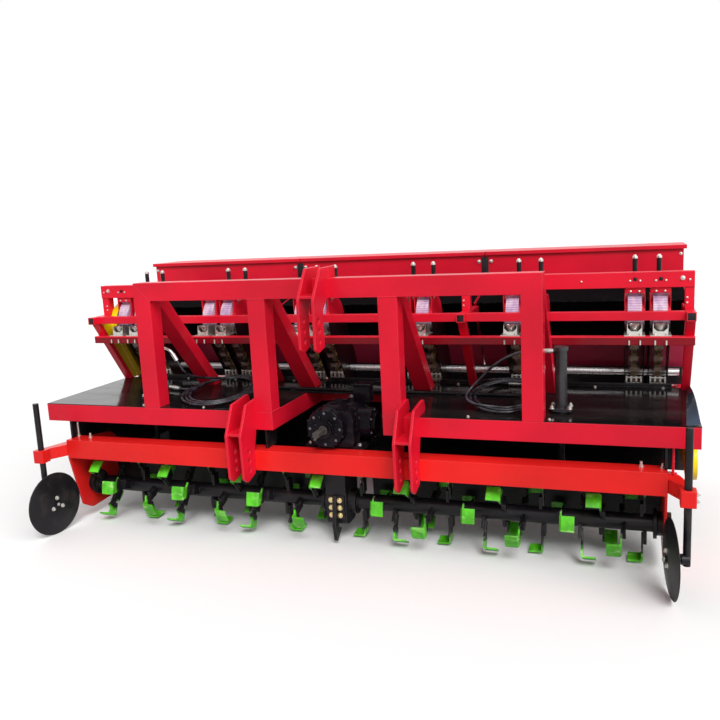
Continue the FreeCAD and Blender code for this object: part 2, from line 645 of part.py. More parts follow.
def rear_supports(posts):
    """Bars behind the deck and the posts that carry the top beam and the hopper."""
    bar_top = -TUBE + SILL_TUBE + BAR_TUBE
    bar = tube_x(-HALF_DECK, HALF_DECK, BAR_Y, BAR_Y + 60, bar_top - BAR_TUBE, bar_top, FRAME_WALL, True, True)
    lip = box(-HALF_DECK, HALF_DECK, BAR_Y, BAR_Y + SHEET, bar_top, bar_top + BAR_LIP)
    save("opener_bar", bar.fuse(lip))
    save("rear_beam", tube_x(-HALF_DECK, HALF_DECK, SILL_BACK - REAR_TUBE, SILL_BACK, -TUBE - REAR_TUBE,
                             -TUBE, FRAME_WALL, True, True))
    slope = (HOP_REAR_Z - HOP_LOW[1]) / (HOP_BACK - HOP_LOW[0])
    bottom = -TUBE + SILL_TUBE
    for x0, x1 in frame_spans():
        y0, y1 = SILL_BACK - 60, SILL_BACK
        z0 = HOP_LOW[1] + slope * (y0 - HOP_LOW[0]) - GAP
        z1 = HOP_LOW[1] + slope * (y1 - HOP_LOW[0]) - GAP
        leg = slab([(y0, bottom), (y1, bottom), (y1, z1), (y0, z0)], "x", x0, x1)
        core = slab([(y0 + 5, bottom - 1), (y1 - 5, bottom - 1), (y1 - 5, z1 - 8), (y0 + 5, z0 - 8)],
                    "x", x0 + 5, x1 - 5)
        posts.append(leg.cut(core))
        posts.append(box(x0, x1, BAR_Y + 20, BAR_Y + 55, bottom + BAR_TUBE, HOP_LOW[1] - GAP))
    save("seeder_posts", posts)


# ================================================================ rows
def row_casings():
    side_plates, covers, chains, brackets = [], [], [], []
    plate = capsule(TOP_R, LOW_R, 0, CASING)
    tab = box(0, CASING, BEAM_FRONT + 15, BEAM_FRONT + BEAM_DEEP, 420, BEAM_BOTTOM)
    plate = plate.fuse(tab)
    for y, z, r in ((TOP_Y, TOP_Z, TOP_SHAFT_R), (LOW_Y, LOW_Z, SEED_SHAFT_R)):
        plate = plate.cut(rod((-1, y, z), (CASING + 1, y, z), r + GAP))
    side = moved(plate.removeSplitter(), -ROW_HALF)
    clear = ROW_HALF - CASING
    cover = capsule(TOP_R, LOW_R, -clear, clear)
    cover = cover.cut(capsule(TOP_R - CASING, LOW_R - CASING, -clear - 1, clear + 1)).common(front_half())
    chain = spoon_chain()
    bracket = box(-ROW_HALF, ROW_HALF, slant_front(LEDGE_Z) - 30, front_line(LEDGE_Z + 4) - GAP, LEDGE_Z,
                  LEDGE_Z + 4)
    for x in rows():
        side_plates += [moved(side, x), moved(mirrored(side), x)]
        covers.append(moved(cover, x))
        chains.append(moved(chain, x))
        brackets.append(moved(bracket, x))
    save("row_side_plates", side_plates)
    save("row_covers", covers)
    save("spoon_chains", chains)
    save("row_brackets", brackets)


def front_half():
    """Everything in front of the line through a row's two sprockets."""
    lean = math.atan2(LOW_Y - TOP_Y, TOP_Z - LOW_Z)
    half = box(-200, 200, -600, 0, -900, 900)
    half.rotate(V(0, 0, 0), V(1, 0, 0), math.degrees(lean))
    half.translate(V(0, TOP_Y, TOP_Z))
    return half


def front_line(z):
    """Y of the casings' straight front at height z."""
    dy, dz = LOW_Y - TOP_Y, LOW_Z - TOP_Z
    length = math.hypot(dy, dz)
    heading = math.atan2(dz, dy)
    angle = heading - math.acos((TOP_R - LOW_R) / length)
    y0, z0 = TOP_Y + TOP_R * math.cos(angle), TOP_Z + TOP_R * math.sin(angle)
    y1, z1 = LOW_Y + LOW_R * math.cos(angle), LOW_Z + LOW_R * math.sin(angle)
    return y0 + (y1 - y0) * (z - z0) / (z1 - z0)


def spoon_chain():
    """One row's endless chain with its seed spoons."""
    inner, outer = SPROCKET_R + GAP, SPROCKET_R + GAP + CHAIN_T
    half = CHAIN_W / 2
    chain = capsule(outer, outer, -half, half).cut(capsule(inner, inner, -half - 1, half + 1))
    dy, dz = LOW_Y - TOP_Y, LOW_Z - TOP_Z
    length = math.hypot(dy, dz)
    down = V(0, dy / length, dz / length)
    rear = V(0, -dz / length, dy / length)
    total = 2 * length + 2 * math.pi * outer
    spoon = slab([(-2, -8), (SPOON, -3), (SPOON, 12), (-2, 8)], "x", -half, half)
    pieces = []
    for k in range(SPOONS):
        s = total * k / SPOONS
        if s < length:
            at, turn = V(0, TOP_Y, TOP_Z) + down * s - rear * outer, 180.0
        elif s < length + math.pi * outer:
            turn = 180.0 + math.degrees((s - length) / outer)
            at = None
        elif s < 2 * length + math.pi * outer:
            s -= length + math.pi * outer
            at, turn = V(0, LOW_Y, LOW_Z) - down * s + rear * outer, 0.0
        else:
            s -= 2 * length + math.pi * outer
            turn = math.degrees(s / outer)
            at = None
        one = spoon.copy()
        base = math.degrees(math.atan2(rear.z, rear.y))
        one.rotate(V(0, 0, 0), V(1, 0, 0), base + turn)
        if at is None:
            centre = V(0, LOW_Y, LOW_Z) if turn > 180.0 else V(0, TOP_Y, TOP_Z)
            angle = math.radians(base + turn)
            at = centre + V(0, math.cos(angle), math.sin(angle)) * outer
        one.translate(at)
        pieces.append(one)
    return chain.fuse(pieces).removeSplitter()


def shafts():
    """Upper tension shaft and the seed shaft, each with its twelve sprockets."""
    half = CHAIN_W / 2 - 6
    spans = frame_spans()
    uppers = []
    for i in range(3):
        x0, x1 = spans[i][1] + GAP, spans[i + 1][0] - GAP
        upper = rod((x0, TOP_Y, TOP_Z), (x1, TOP_Y, TOP_Z), TOP_SHAFT_R)
        for x in rows():
            if x0 < x < x1:
                upper = upper.fuse(rod((x - half, TOP_Y, TOP_Z), (x + half, TOP_Y, TOP_Z), SPROCKET_R))
        uppers.append(upper)
    save("tension_shafts", uppers)
    end = FRAME_OUT - FRAME_TUBE - GAP
    low = rod((-end, LOW_Y, LOW_Z), (end, LOW_Y, LOW_Z), SEED_SHAFT_R)
    for x in rows():
        low = low.fuse(rod((x - half, LOW_Y, LOW_Z), (x + half, LOW_Y, LOW_Z), SPROCKET_R))
    save("seed_shaft", low)
    gates = []
    for x in rows():
        gates.append(rod((x, GATE_Y, throat_line(GATE_Y) - 30), (x, GATE_Y, GATE_TOP), GATE_R))
    save("gate_rods", gates)


def throat_line(y):
    """Height of the shroud between the casings and the bins at y."""
    y0, z0 = THROAT
    y1, z1 = HOP_FRONT, 500.0
    return z0 + (z1 - z0) * (y - y0) / (y1 - y0)


# ================================================================ hopper
def hopper():
    section = [THROAT, HOP_LOW, (HOP_BACK, HOP_REAR_Z), (HOP_BACK, HOP_TOP), (HOP_FRONT, HOP_TOP),
               (HOP_FRONT, 500.0)]
    spans = ((-HOP_HALF, -HOP_SPLIT - HOP_GAP), (-HOP_SPLIT + HOP_GAP, HOP_SPLIT - HOP_GAP),
             (HOP_SPLIT + HOP_GAP, HOP_HALF))
    names = ("left", "middle", "right")
    for name, (x0, x1) in zip(names, spans):
        outer = slab(section, "x", x0, x1)
        hollow = slab(inset(section, HOP_T), "x", x0 + HOP_T, x1 - HOP_T)
        bin_shell = outer.cut(hollow)
        for x in rows():
            if x0 < x < x1:
                bin_shell = bin_shell.cut(rod((x, GATE_Y, throat_line(GATE_Y) - 20),
                                              (x, GATE_Y, throat_line(GATE_Y) + 20), GATE_R + GAP))
        bin_shell = bin_shell.fuse(hinge_ears(x0, x1))
        save("hopper_bin_" + name, bin_shell)
        save("hopper_lid_" + name, lid(x0, x1))


def inset(section, wall):
    """Inner outline of a bin, open at the top."""
    count = len(section)
    lines = []
    for i in range(count):
        following = section[(i + 1) % count]
        a, b = V(section[i][0], section[i][1], 0), V(following[0], following[1], 0)
        along = (b - a).normalize()
        normal = V(-along.y, along.x, 0)
        shift = normal * wall
        if abs(a.y - HOP_TOP) < 1e-6 and abs(b.y - HOP_TOP) < 1e-6:
            shift = normal * -5.0
        lines.append((a + shift, along))
    points = []
    for i in range(count):
        (p, d), (q, e) = lines[i - 1], lines[i]
        t = ((q.x - p.x) * e.y - (q.y - p.y) * e.x) / (d.x * e.y - d.y * e.x)
        points.append((p.x + d.x * t, p.y + d.y * t))
    return points


HINGE_Y = HOP_BACK + 10.0
HINGE_Z = HOP_TOP + 4.0


def hinge_spots(x0, x1):
    return (x0 + 160.0, x1 - 160.0)


def hinge_ears(x0, x1):
    ears = []
    for x in hinge_spots(x0, x1):
        for side in (-1, 1):
            a = x + side * 22 - 4
            ear = slab([(HOP_BACK - 1, HOP_TOP - 60), (HOP_BACK - 1, HOP_TOP - 1), (HINGE_Y - 9, HINGE_Z + 9, 8),
                        (HINGE_Y + 9, HINGE_Z + 9, 8), (HINGE_Y + 9, HINGE_Z - 12, 8)], "x", a, a + 8)
            ears.append(ear)
        ears.append(rod((x - 26, HINGE_Y, HINGE_Z), (x + 26, HINGE_Y, HINGE_Z), PIVOT_R))
    return ears


def lid(x0, x1):
    a = x0 - LID_OVER if x0 == -HOP_HALF else x0 - HOP_GAP + MOVE / 2
    b = x1 + LID_OVER if x1 == HOP_HALF else x1 + HOP_GAP - MOVE / 2
    y0, y1 = HOP_FRONT - LID_OVER, HOP_BACK - 2
    z0 = HOP_TOP + GAP
    top = box(a, b, y0, y1, z0, z0 + LID_TALL)
    top = top.cut(box(a + HOP_T, b - HOP_T, y0 + HOP_T, y1 - HOP_T, z0 - 1, z0 + LID_TALL - HOP_T))
    for x in hinge_spots(x0, x1):
        leaf = slab([(y1 - 30, z0 + LID_TALL), (y1 - 30, z0 + LID_TALL - 4), (HINGE_Y - 8, z0 + LID_TALL - 4),
                     (HINGE_Y - 7, HINGE_Z), (HINGE_Y + 7, HINGE_Z), (HINGE_Y + 7, z0 + LID_TALL)],
                    "x", x - 15, x + 15)
        top = top.fuse(leaf).fuse(rod((x - 15, HINGE_Y, HINGE_Z), (x + 15, HINGE_Y, HINGE_Z), 9))
        top = top.cut(rod((x - 16, HINGE_Y, HINGE_Z), (x + 16, HINGE_Y, HINGE_Z), PIVOT_R + RUN))
    return top.removeSplitter()


# ================================================================ openers and roller
def openers():
    """Furrow openers: a nose between two cheeks, on a shank clamped under the opener bar."""
    floor = -GROUND
    cheek = slab([(800, floor, 10), (905, floor), (905, -60), (830, -60), (830, -480, 60)], "x", -24, 24)
    nose = slab([(840, floor - 1), (906, floor - 1), (906, -59), (840, -59)], "x", -20, 20)
    shank = slab([(900, -300), (900, -90), (BAR_Y, -TUBE + SILL_TUBE), (BAR_Y + 60, -TUBE + SILL_TUBE)],
                 "x", -8, 8)
    bridge = box(-24, 24, 896, 905, -300, -90)
    opener = cheek.cut(nose).fuse(shank).fuse(bridge).removeSplitter()
    save("furrow_openers", [moved(opener, x) for x in rows()])


def press_roller():
    z = ROLL_R - GROUND
    end = ARM_X + ARM_T + 20
    drum = pipe((-ROLL_HALF, ROLL_Y, z), (ROLL_HALF, ROLL_Y, z), ROLL_R, ROLL_R - ROLL_WALL)
    axle = rod((-end, ROLL_Y, z), (end, ROLL_Y, z), ROLL_AXLE_R)
    for x in (-ROLL_HALF + 40, 0, ROLL_HALF - 40):
        drum = drum.fuse(rod((x - 5, ROLL_Y, z), (x + 5, ROLL_Y, z), ROLL_R - ROLL_WALL / 2))
    save("press_roller", drum.fuse(axle).removeSplitter())
    low = -TUBE - REAR_TUBE
    arm = slab([(SILL_BACK - 75, low), (SILL_BACK - 5, low), (ROLL_Y + 40, z + 60, 30), (ROLL_Y + 40, z - 40, 38),
                (ROLL_Y - 40, z - 40, 38), (ROLL_Y - 40, z + 60, 30)], "x", ARM_X, ARM_X + ARM_T)
    boss = rod((ARM_X - 10, ROLL_Y, z), (ARM_X + ARM_T + 12, ROLL_Y, z), 36)
    bore = rod((ARM_X - 20, ROLL_Y, z), (ARM_X + ARM_T + 30, ROLL_Y, z), ROLL_AXLE_R + RUN)
    save("roller_arms", both(arm.fuse(boss).cut(bore).removeSplitter()))


# ================================================================ guards and cylinders
def guards():
    """Chain guards: the leaning one inside the left end frame, the long one under the right of the deck."""
    x1 = FRAME_OUT - FRAME_TUBE
    left = capsule(GUARD_R, GUARD_R, -x1, -x1 + 38)
    left = left.cut(capsule(GUARD_R - 3, GUARD_R - 3, -x1 + 3, -x1 + 40))
    for y, z, r in ((TOP_Y, TOP_Z, TOP_SHAFT_R), (LOW_Y, LOW_Z, SEED_SHAFT_R)):
        left = left.cut(rod((-x1 - 1, y, z), (-x1 + 40, y, z), r + 1))
    save("chain_guard_left", left)
    x0, x1 = HALF_DECK - 42, HALF_DECK
    low, high = -290.0, -120.0
    radius = (high - low) / 2
    nose, tail = 230.0, 700.0
    middle = (low + high) / 2
    body = rod((x0, nose, middle), (x1, nose, middle), radius)
    body = body.fuse(box(x0, x1, nose, tail, low, high))
    body = body.fuse(rod((x0, tail, middle), (x1, tail, middle), radius))
    for y in (nose + 70, tail - 100):
        body = body.fuse(box(x0 + 12, x1 - 12, y, y + 40, high - 5, -TUBE))
    save("chain_guard_right", body.removeSplitter())


def cylinders():
    body = rod((CYL_X, CYL_Y, SHEET + 22), (CYL_X, CYL_Y, CYL_TOP), CYL_R)
    body = body.fuse(rod((CYL_X, CYL_Y, CYL_TOP - 18), (CYL_X, CYL_Y, CYL_TOP), CYL_R + 6))
    body = body.fuse(slab([(CYL_X - 48, CYL_Y - 40, 10), (CYL_X + 48, CYL_Y - 40, 10),
                           (CYL_X + 48, CYL_Y + 40, 10),
                           (CYL_X - 48, CYL_Y + 40, 10)], "z", SHEET + 10, SHEET + 22))
    body = body.fuse(rod((CYL_X, CYL_Y, SHEET), (CYL_X, CYL_Y, SHEET + 10), CYL_R))
    body = body.cut(rod((CYL_X, CYL_Y, -10), (CYL_X, CYL_Y, SHEET + 60), ROD_R + GAP))
    port = CYL_TOP - PORT_DROP
    nipple = rod((CYL_X - 42, CYL_Y, port), (CYL_X, CYL_Y, port), 9)
    nipple = nipple.fuse(rod((CYL_X - 42 - FERRULE, CYL_Y, port), (CYL_X - 42, CYL_Y, port), FERRULE_R))
    elbow = bent_tube(ELBOW, 8.0)
    start, along = V(*ELBOW[-1]), (V(*ELBOW[-1]) - V(*ELBOW[-2])).normalize()
    elbow = elbow.fuse(Part.makeCylinder(FERRULE_R, FERRULE, start - along * FERRULE, along))
    save("lift_cylinders", [mirrored(body).fuse(elbow).removeSplitter(), body.fuse(nipple).removeSplitter()])
    low = ROTOR_Z + math.sqrt((HOOD_R + HOOD_T) ** 2 - (CYL_Y - ROTOR_Y) ** 2)
    piston = rod((CYL_X, CYL_Y, low + 20), (CYL_X, CYL_Y, SHEET + 55), ROD_R)
    lug = slab([(CYL_Y - 30, low + 1.5), (CYL_Y + 30, low + 1.5), (CYL_Y + 18, low + 40, 10),
                (CYL_Y - 18, low + 40, 10)],
               "x", CYL_X - 18, CYL_X + 18)
    save("cylinder_rods", both(piston.fuse(lug).removeSplitter()))


# ================================================================ hydraulic hoses
ELBOW = [(-CYL_X + 20, CYL_Y, CYL_TOP - PORT_DROP), (-935, CYL_Y, CYL_TOP - PORT_DROP), (-895, CYL_Y, 215)]
LEFT_LEAD = [ELBOW[-1], (-879, CYL_Y, 189), (-866, 194, 158), (-852, 240, 128), (-838, 296, 104),
             (-818, 356, 86), (-792, 414, 72), (-758, 466, 60)]
LEFT_TAIL = [(-894, 345, 37), (-934, 352, 27), (-985, 366, HOSE_LIE + 5), (-1030, 381, HOSE_LIE + 6.3)]
RIGHT_LEAD = [(CYL_X - 42 - FERRULE, CYL_Y, CYL_TOP - PORT_DROP), (940, CYL_Y, CYL_TOP - PORT_DROP),
              (886, 174, 274), (830, 186, 252), (778, 206, 220), (730, 228, 180), (690, 246, 136),
              (662, 256, 92), (646, 252, 56)]
RIGHT_TAIL = [(800, 484, 80), (748, 497, 82), (694, 506, 76), (648, 540, 64), (628, 594, 50), (647, 652, 33),
              (696, 692, HOSE_LIE + 6.3), (752, 694, HOSE_LIE + 6.3)]


def bent_tube(points, radius):
    """Round bar along straight runs joined by tangent arcs."""
    points = [V(*p) for p in points]
    edges, here = [], points[0]
    for i in range(1, len(points) - 1):
        back, fwd = points[i - 1] - points[i], points[i + 1] - points[i]
        turn = math.pi - back.getAngle(fwd)
        arc_r = 0.45 * min(back.Length, fwd.Length) / math.tan(turn / 2)
        cut = arc_r * math.tan(turn / 2)
        back.normalize()
        fwd.normalize()
        start, end = points[i] + back * cut, points[i] + fwd * cut
        centre = points[i] + (back + fwd).normalize() * (arc_r / math.cos(turn / 2))
        middle = centre + (points[i] - centre).normalize() * arc_r
        edges += [Part.makeLine(here, start), Part.Arc(start, middle, end).toShape()]
        here = end
    edges.append(Part.makeLine(here, points[-1]))
    path = Part.Wire(edges)
    circle = Part.Wire(Part.makeCircle(radius, points[0], points[1] - points[0]))
    return path.makePipeShell([circle], True, False)


def coil(middle_x, middle_y, half_x, half_y, rise):
    """Outer shape of loose turns that lie on the deck in front and lean up towards the rear."""
    def oval(a, b):
        plane = Part.Ellipse(V(0, 0, 0), max(a, b), min(a, b))
        wire = Part.Wire(plane.toShape())
        if b > a:
            wire.rotate(V(0, 0, 0), V(0, 0, 1), 90)
        return Part.Face(wire)

    edge = HOSE_R + 3
    ring = oval(half_x + edge, half_y + edge).cut(oval(half_x - 4 * edge, half_y - 5 * edge))
    solid = ring.extrude(V(0, 0, COIL_T))
    solid.rotate(V(0, -half_y - edge, 0), V(1, 0, 0), math.degrees(math.atan(rise)))
    solid.translate(V(middle_x, middle_y, SHEET + GAP))
    return solid


def plug(tip, along, length):
    """Quick-release plug: knurled sleeve behind a narrower nose."""
    along = V(*along).normalize()
    start = V(*tip)
    body = Part.makeCylinder(PLUG_R - 3, length, start, along)
    body = body.fuse(Part.makeCylinder(PLUG_R, length * 0.45, start + along * (length * 0.2), along))
    return body.removeSplitter()


def hoses():
    save("hose_lead_left", bent_tube(LEFT_LEAD, HOSE_R))
    save("hose_tail_left", bent_tube(LEFT_TAIL, HOSE_R))
    save("hose_lead_right", bent_tube(RIGHT_LEAD, HOSE_R))
    save("hose_tail_right", bent_tube(RIGHT_TAIL, HOSE_R))
    save("hose_coil_left", coil(*LEFT_COIL))
    save("hose_coil_right", coil(*RIGHT_COIL))
    for name, route in (("hose_plug_left", LEFT_TAIL), ("hose_plug_right", RIGHT_TAIL)):
        save(name, plug(route[-1], V(*route[-1]) - V(*route[-2]), 85.0))


def main():
    os.makedirs("parts", exist_ok=True)
    deck()
    gantry()
    hitch()
    tiller_frame()
    drive_case()
    gearbox()
    rotor()
    discs()
    seeding_frame()
    row_casings()
    shafts()
    hopper()
    openers()
    press_roller()
    guards()
    cylinders()
    hoses()


main()
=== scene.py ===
import math

import bmesh
import bpy
from bpy.props import FloatProperty, FloatVectorProperty, IntProperty, PointerProperty
from mathutils import Matrix, Vector


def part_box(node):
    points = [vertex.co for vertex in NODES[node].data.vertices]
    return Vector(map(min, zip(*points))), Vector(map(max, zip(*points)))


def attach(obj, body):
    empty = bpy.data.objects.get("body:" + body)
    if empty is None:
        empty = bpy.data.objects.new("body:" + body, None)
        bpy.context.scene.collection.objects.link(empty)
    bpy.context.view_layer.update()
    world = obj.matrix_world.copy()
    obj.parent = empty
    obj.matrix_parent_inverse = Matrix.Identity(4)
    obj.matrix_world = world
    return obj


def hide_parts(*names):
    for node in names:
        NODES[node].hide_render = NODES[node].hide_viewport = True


bl_info = {
    "name": "Garlic Planter",
    "version": (1, 0, 0),
    "blender": (4, 5, 0),
    "location": "View3D > Sidebar > Planter",
    "description": "Paint, fixings, hoses and a stage for a mounted garlic planter",
    "category": "Object",
}

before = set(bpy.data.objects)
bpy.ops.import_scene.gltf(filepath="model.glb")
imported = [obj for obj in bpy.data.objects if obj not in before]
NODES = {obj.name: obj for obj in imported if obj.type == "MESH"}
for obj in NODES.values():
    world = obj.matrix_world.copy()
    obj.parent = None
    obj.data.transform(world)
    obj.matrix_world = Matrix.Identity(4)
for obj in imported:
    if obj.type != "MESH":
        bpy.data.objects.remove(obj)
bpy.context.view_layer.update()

# Shapes are drawn in millimetres from the middle of the deck beam's top front edge.
MM = 1000.0
ORIGIN = Vector((0.0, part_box("deck_cross_beams")[0].y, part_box("deck_cross_beams")[1].z))
TO_FRAME = Matrix.Translation(ORIGIN) @ Matrix.Diagonal((1 / MM, 1 / MM, 1 / MM, 1.0))

# Where the added pieces meet the machine. A pair of numbers is a place in Y and Z, save for the posts.
FORWARD, UP = (0, -1, 0), (0, 0, 1)
PAIR_STEP = 568.0                    # from one pair of rows to the next, and out to the joints of the bins
PAIR_HALF = 56.0                     # from the middle of a pair to either of its rows
ROWS = [(pair - 2.5) * PAIR_STEP + side * PAIR_HALF for pair in range(6) for side in (-1, 1)]
OUTER_POST, INNER_POST = (1000, 910), (370, 280)        # outer and inner side of each, in X
GANTRY_BEAM = 546.0                  # underside of the gantry's top beam
BEAM_FACE = 545.0                    # front of the seeder's top beam
SHEET_TOP = 4.0
CYLINDER_X, CYLINDER_Y = 1060.0, 170.0
ROTOR_AXIS = (150.0, -475.0)
TILLER_TOP, TILLER_END = -187.0, 1496.0
CLAMP_SEAT = -214.0                  # just under the top of the disc clamps
INPUT_X, INPUT_Z = -20.0, -80.0      # centre of the gearbox's input
SHANK_X, SHANK_Y, HUB_Z = 1565.0, -144.0, -500.0
DISC_TOE = math.radians(8.5)
TOP_SPROCKET = (676.0, 364.0)
COVER_RADIUS = 118.6                 # just outside the round top of the row covers
COVER_CREST = math.radians(-84)      # turn from the sprocket's level up to the crest of a cover
TRAY_HALF, TRAY_RISE, TRAY_WALL = 31.0, 30.0, 2.5
CASING_TOP = (579.1, 296.6)          # upper end of the casing's straight front
CASING_LEAN = 205.8 / 295.7          # how far it runs back for each unit that it drops
LEDGE_TOP = 306.0
GATE_Y = 813.0
BIN_FRONT, BIN_BACK = 1107.0, 1452.0
THROAT_TOP, THROAT_FOOT = (782.0, 430.0), (1023.0, 43.0)
FLANGE_X = -1579.0
CAMERA_PLACE = (1343.8, -3236.7, 857.5)
CAMERA_TURN = (19.706756, 80.155337, -2.868401)
SHARP_FROM = math.radians(40)


def at(x, y, z):
    """A point of the machine, given in millimetres, in the shared frame."""
    return TO_FRAME @ Vector((x, y, z))


def ink(red, green, blue):
    """Display colour 0 to 255 as the linear colour that a material takes."""
    def linear(level):
        level /= 255
        return level / 12.92 if level <= 0.04045 else ((level + 0.055) / 1.055) ** 2.4
    return (linear(red), linear(green), linear(blue))


# ---------------------------------------------------------------- settings
def colour(name, description, default):
    """A colour that the user can set."""
    return FloatVectorProperty(name=name, description=description, subtype="COLOR", size=3, min=0, max=1,
                               default=default)


class PlanterPaints(bpy.types.PropertyGroup):
    frame_red: colour("Frame red", "Enamel of the deck frame, gantry, seeder and hopper", ink(220, 22, 48))
    tiller_red: colour("Tiller red", "Enamel of the tiller beam and its side plates", ink(232, 34, 32))
    gloss_black: colour("Deck black", "Gloss enamel of the deck sheets", ink(20, 18, 20))
    satin_black: colour("Satin black", "Paint of the rotor, hood, discs and opener bar", ink(21, 19, 23))
    blade_green: colour("Blade green", "Dipped tips of the rotor blades", ink(98, 216, 40))
    guard_yellow: colour("Guard yellow", "Chain guards", ink(255, 234, 0))
    zinc: colour("Zinc", "Plated bolts, holders and plugs", ink(206, 204, 198))
    brass: colour("Brass", "Yellow plated bolts and spoons", ink(224, 204, 152))
    cover_tint: colour("Cover tint", "Clear plastic of the row covers", ink(216, 168, 206))


class PlanterFixings(bpy.types.PropertyGroup):
    bolt: FloatProperty(name="Bolt", description="Width across the flats of the small bolts", default=0.014,
                        min=0.006, max=0.03, unit="LENGTH")
    weld: FloatProperty(name="Weld", description="Radius of the weld beads", default=0.004, min=0.001,
                        max=0.01, unit="LENGTH")


class PlanterHoses(bpy.types.PropertyGroup):
    thickness: FloatProperty(name="Thickness", description="Outside diameter of the hydraulic hoses",
                             default=0.013, min=0.008, max=0.02, unit="LENGTH")
    turns: IntProperty(name="Turns", description="Turns in each coil of hose", default=3, min=1, max=4)


class PlanterStage(bpy.types.PropertyGroup):
    floor: colour("Floor", "Colour of the studio floor", (0.9, 0.9, 0.9))
    key: FloatProperty(name="Key light", description="Strength of the main lamp", default=1.75, min=0, max=6)
    sky: FloatProperty(name="Sky light", description="Strength of the light from all round", default=0.45,
                       min=0, max=2)
    bounce: FloatProperty(name="Bounce", description="How much light the floor throws back", default=0.3,
                          min=0, max=1)


# ---------------------------------------------------------------- materials
class Value:
    """A shader socket that plain sums can use."""

    def __init__(self, finish, socket):
        self.finish = finish
        self.socket = socket

    def __add__(self, other):
        return self.finish.sum("ADD", self, other)

    def __radd__(self, other):
        return self.finish.sum("ADD", other, self)

    def __sub__(self, other):
        return self.finish.sum("SUBTRACT", self, other)

    def __rsub__(self, other):
        return self.finish.sum("SUBTRACT", other, self)

    def __mul__(self, other):
        return self.finish.sum("MULTIPLY", self, other)

    def __rmul__(self, other):
        return self.finish.sum("MULTIPLY", other, self)

    def __truediv__(self, other):
        return self.finish.sum("DIVIDE", self, other)


class Finish:
    """A material with one Principled shader, and what feeds it."""

    def __init__(self, name):
        self.material = bpy.data.materials.new(name)
        self.material.use_nodes = True
        self.tree = self.material.node_tree
        self.shader = self.tree.nodes["Principled BSDF"]
        self.place = self.node("ShaderNodeTexCoord", {}, {}, "Object")

    def node(self, kind, settings, sockets, output=0):
        """Adds a node: its settings first, then the values or links of its sockets."""
        node = self.tree.nodes.new(kind)
        for name, value in settings.items():
            setattr(node, name, value)
        for name, value in sockets.items():
            if isinstance(value, Value):
                self.tree.links.new(value.socket, node.inputs[name])
            else:
                node.inputs[name].default_value = value
        return Value(self, node.outputs[output])

    def sum(self, operation, first, second):
        return self.node("ShaderNodeMath", {"operation": operation}, {0: first, 1: second})

    def noise(self, scale, detail=3.0, stretch=(1.0, 1.0, 1.0), roughness=0.5):
        """Cloudy pattern; scale is in clouds to the metre."""
        spot = self.node("ShaderNodeMapping", {}, {"Vector": self.place, "Scale": stretch})
        return self.node("ShaderNodeTexNoise", {}, {"Vector": spot, "Scale": scale, "Detail": detail,
                                                    "Roughness": roughness})

    def step(self, value, low, high, start=0.0, end=1.0):
        """Rises smoothly from start to end as value goes from low to high."""
        return self.node("ShaderNodeMapRange", {"interpolation_type": "SMOOTHSTEP"},
                         {"Value": value, "From Min": low, "From Max": high, "To Min": start, "To Max": end})

    def blend(self, share, first, second):
        """Colour between first and second."""
        first, second = (c if isinstance(c, Value) else (*c, 1.0) for c in (first, second))
        return self.node("ShaderNodeMix", {"data_type": "RGBA"}, {0: share, 6: first, 7: second}, 2)

    def axis(self, name):
        return self.node("ShaderNodeSeparateXYZ", {}, {"Vector": self.place}, name)

    def below(self, height, fade=1.0):
        """1 below that height of the machine and 0 above it, in millimetres."""
        return self.step(self.axis("Z"), at(0, 0, height + fade).z, at(0, 0, height - fade).z)

    def single(self, operation, value):
        return self.node("ShaderNodeMath", {"operation": operation}, {0: value})

    def reach(self):
        """Distance from the rotor's axis."""
        axis = at(0, *ROTOR_AXIS)
        up, back = self.axis("Z") - axis.z, self.axis("Y") - axis.y
        return self.single("SQRT", up * up + back * back)

    def across_row(self):
        """Distance from the middle of the nearest seeding row, which stand in pairs."""
        step = PAIR_STEP / MM
        pair = self.single("ABSOLUTE", self.single("FRACT", self.axis("X") / step) - 0.5) * step
        return self.single("ABSOLUTE", pair - PAIR_HALF / MM)

    def rounded(self, radius):
        """Normal that is rounded off along the edges."""
        return self.node("ShaderNodeBevel", {"samples": 4}, {"Radius": radius})

    def edges(self, radius):
        """Rounded normal, and a mask that is 1 along the edges."""
        rounded = self.rounded(radius)
        true = self.node("ShaderNodeNewGeometry", {}, {}, "Normal")
        along = self.node("ShaderNodeVectorMath", {"operation": "DOT_PRODUCT"}, {0: rounded, 1: true},
                          "Value")
        return rounded, self.step(along, 0.999, 0.86)

    def bump(self, height, depth, strength=1.0, normal=None):
        """Relief of that height pattern, depth in metres."""
        sockets = {"Height": height, "Distance": depth, "Strength": strength}
        if normal is not None:
            sockets["Normal"] = normal
        return self.node("ShaderNodeBump", {}, sockets)

    def shade(self, **sockets):
        """Sets the shader: Base_Color=..., Roughness=..., and so on."""
        for name, value in sockets.items():
            socket = self.shader.inputs[name.replace("_", " ")]
            if isinstance(value, Value):
                self.tree.links.new(value.socket, socket)
            else:
                socket.default_value = value
        return self.material


def scaled(shade, factor):
    return tuple(min(1.0, c * factor) for c in shade)


def toward(shade, other, share):
    return tuple(a + (b - a) * share for a, b in zip(shade, other))


def once(recipe):
    """Mixes a finish when its name first comes up, and hands out the same one from then on."""
    def finish(name, *rest, **named):
        return bpy.data.materials.get(name) or recipe(name, *rest, **named)
    return finish


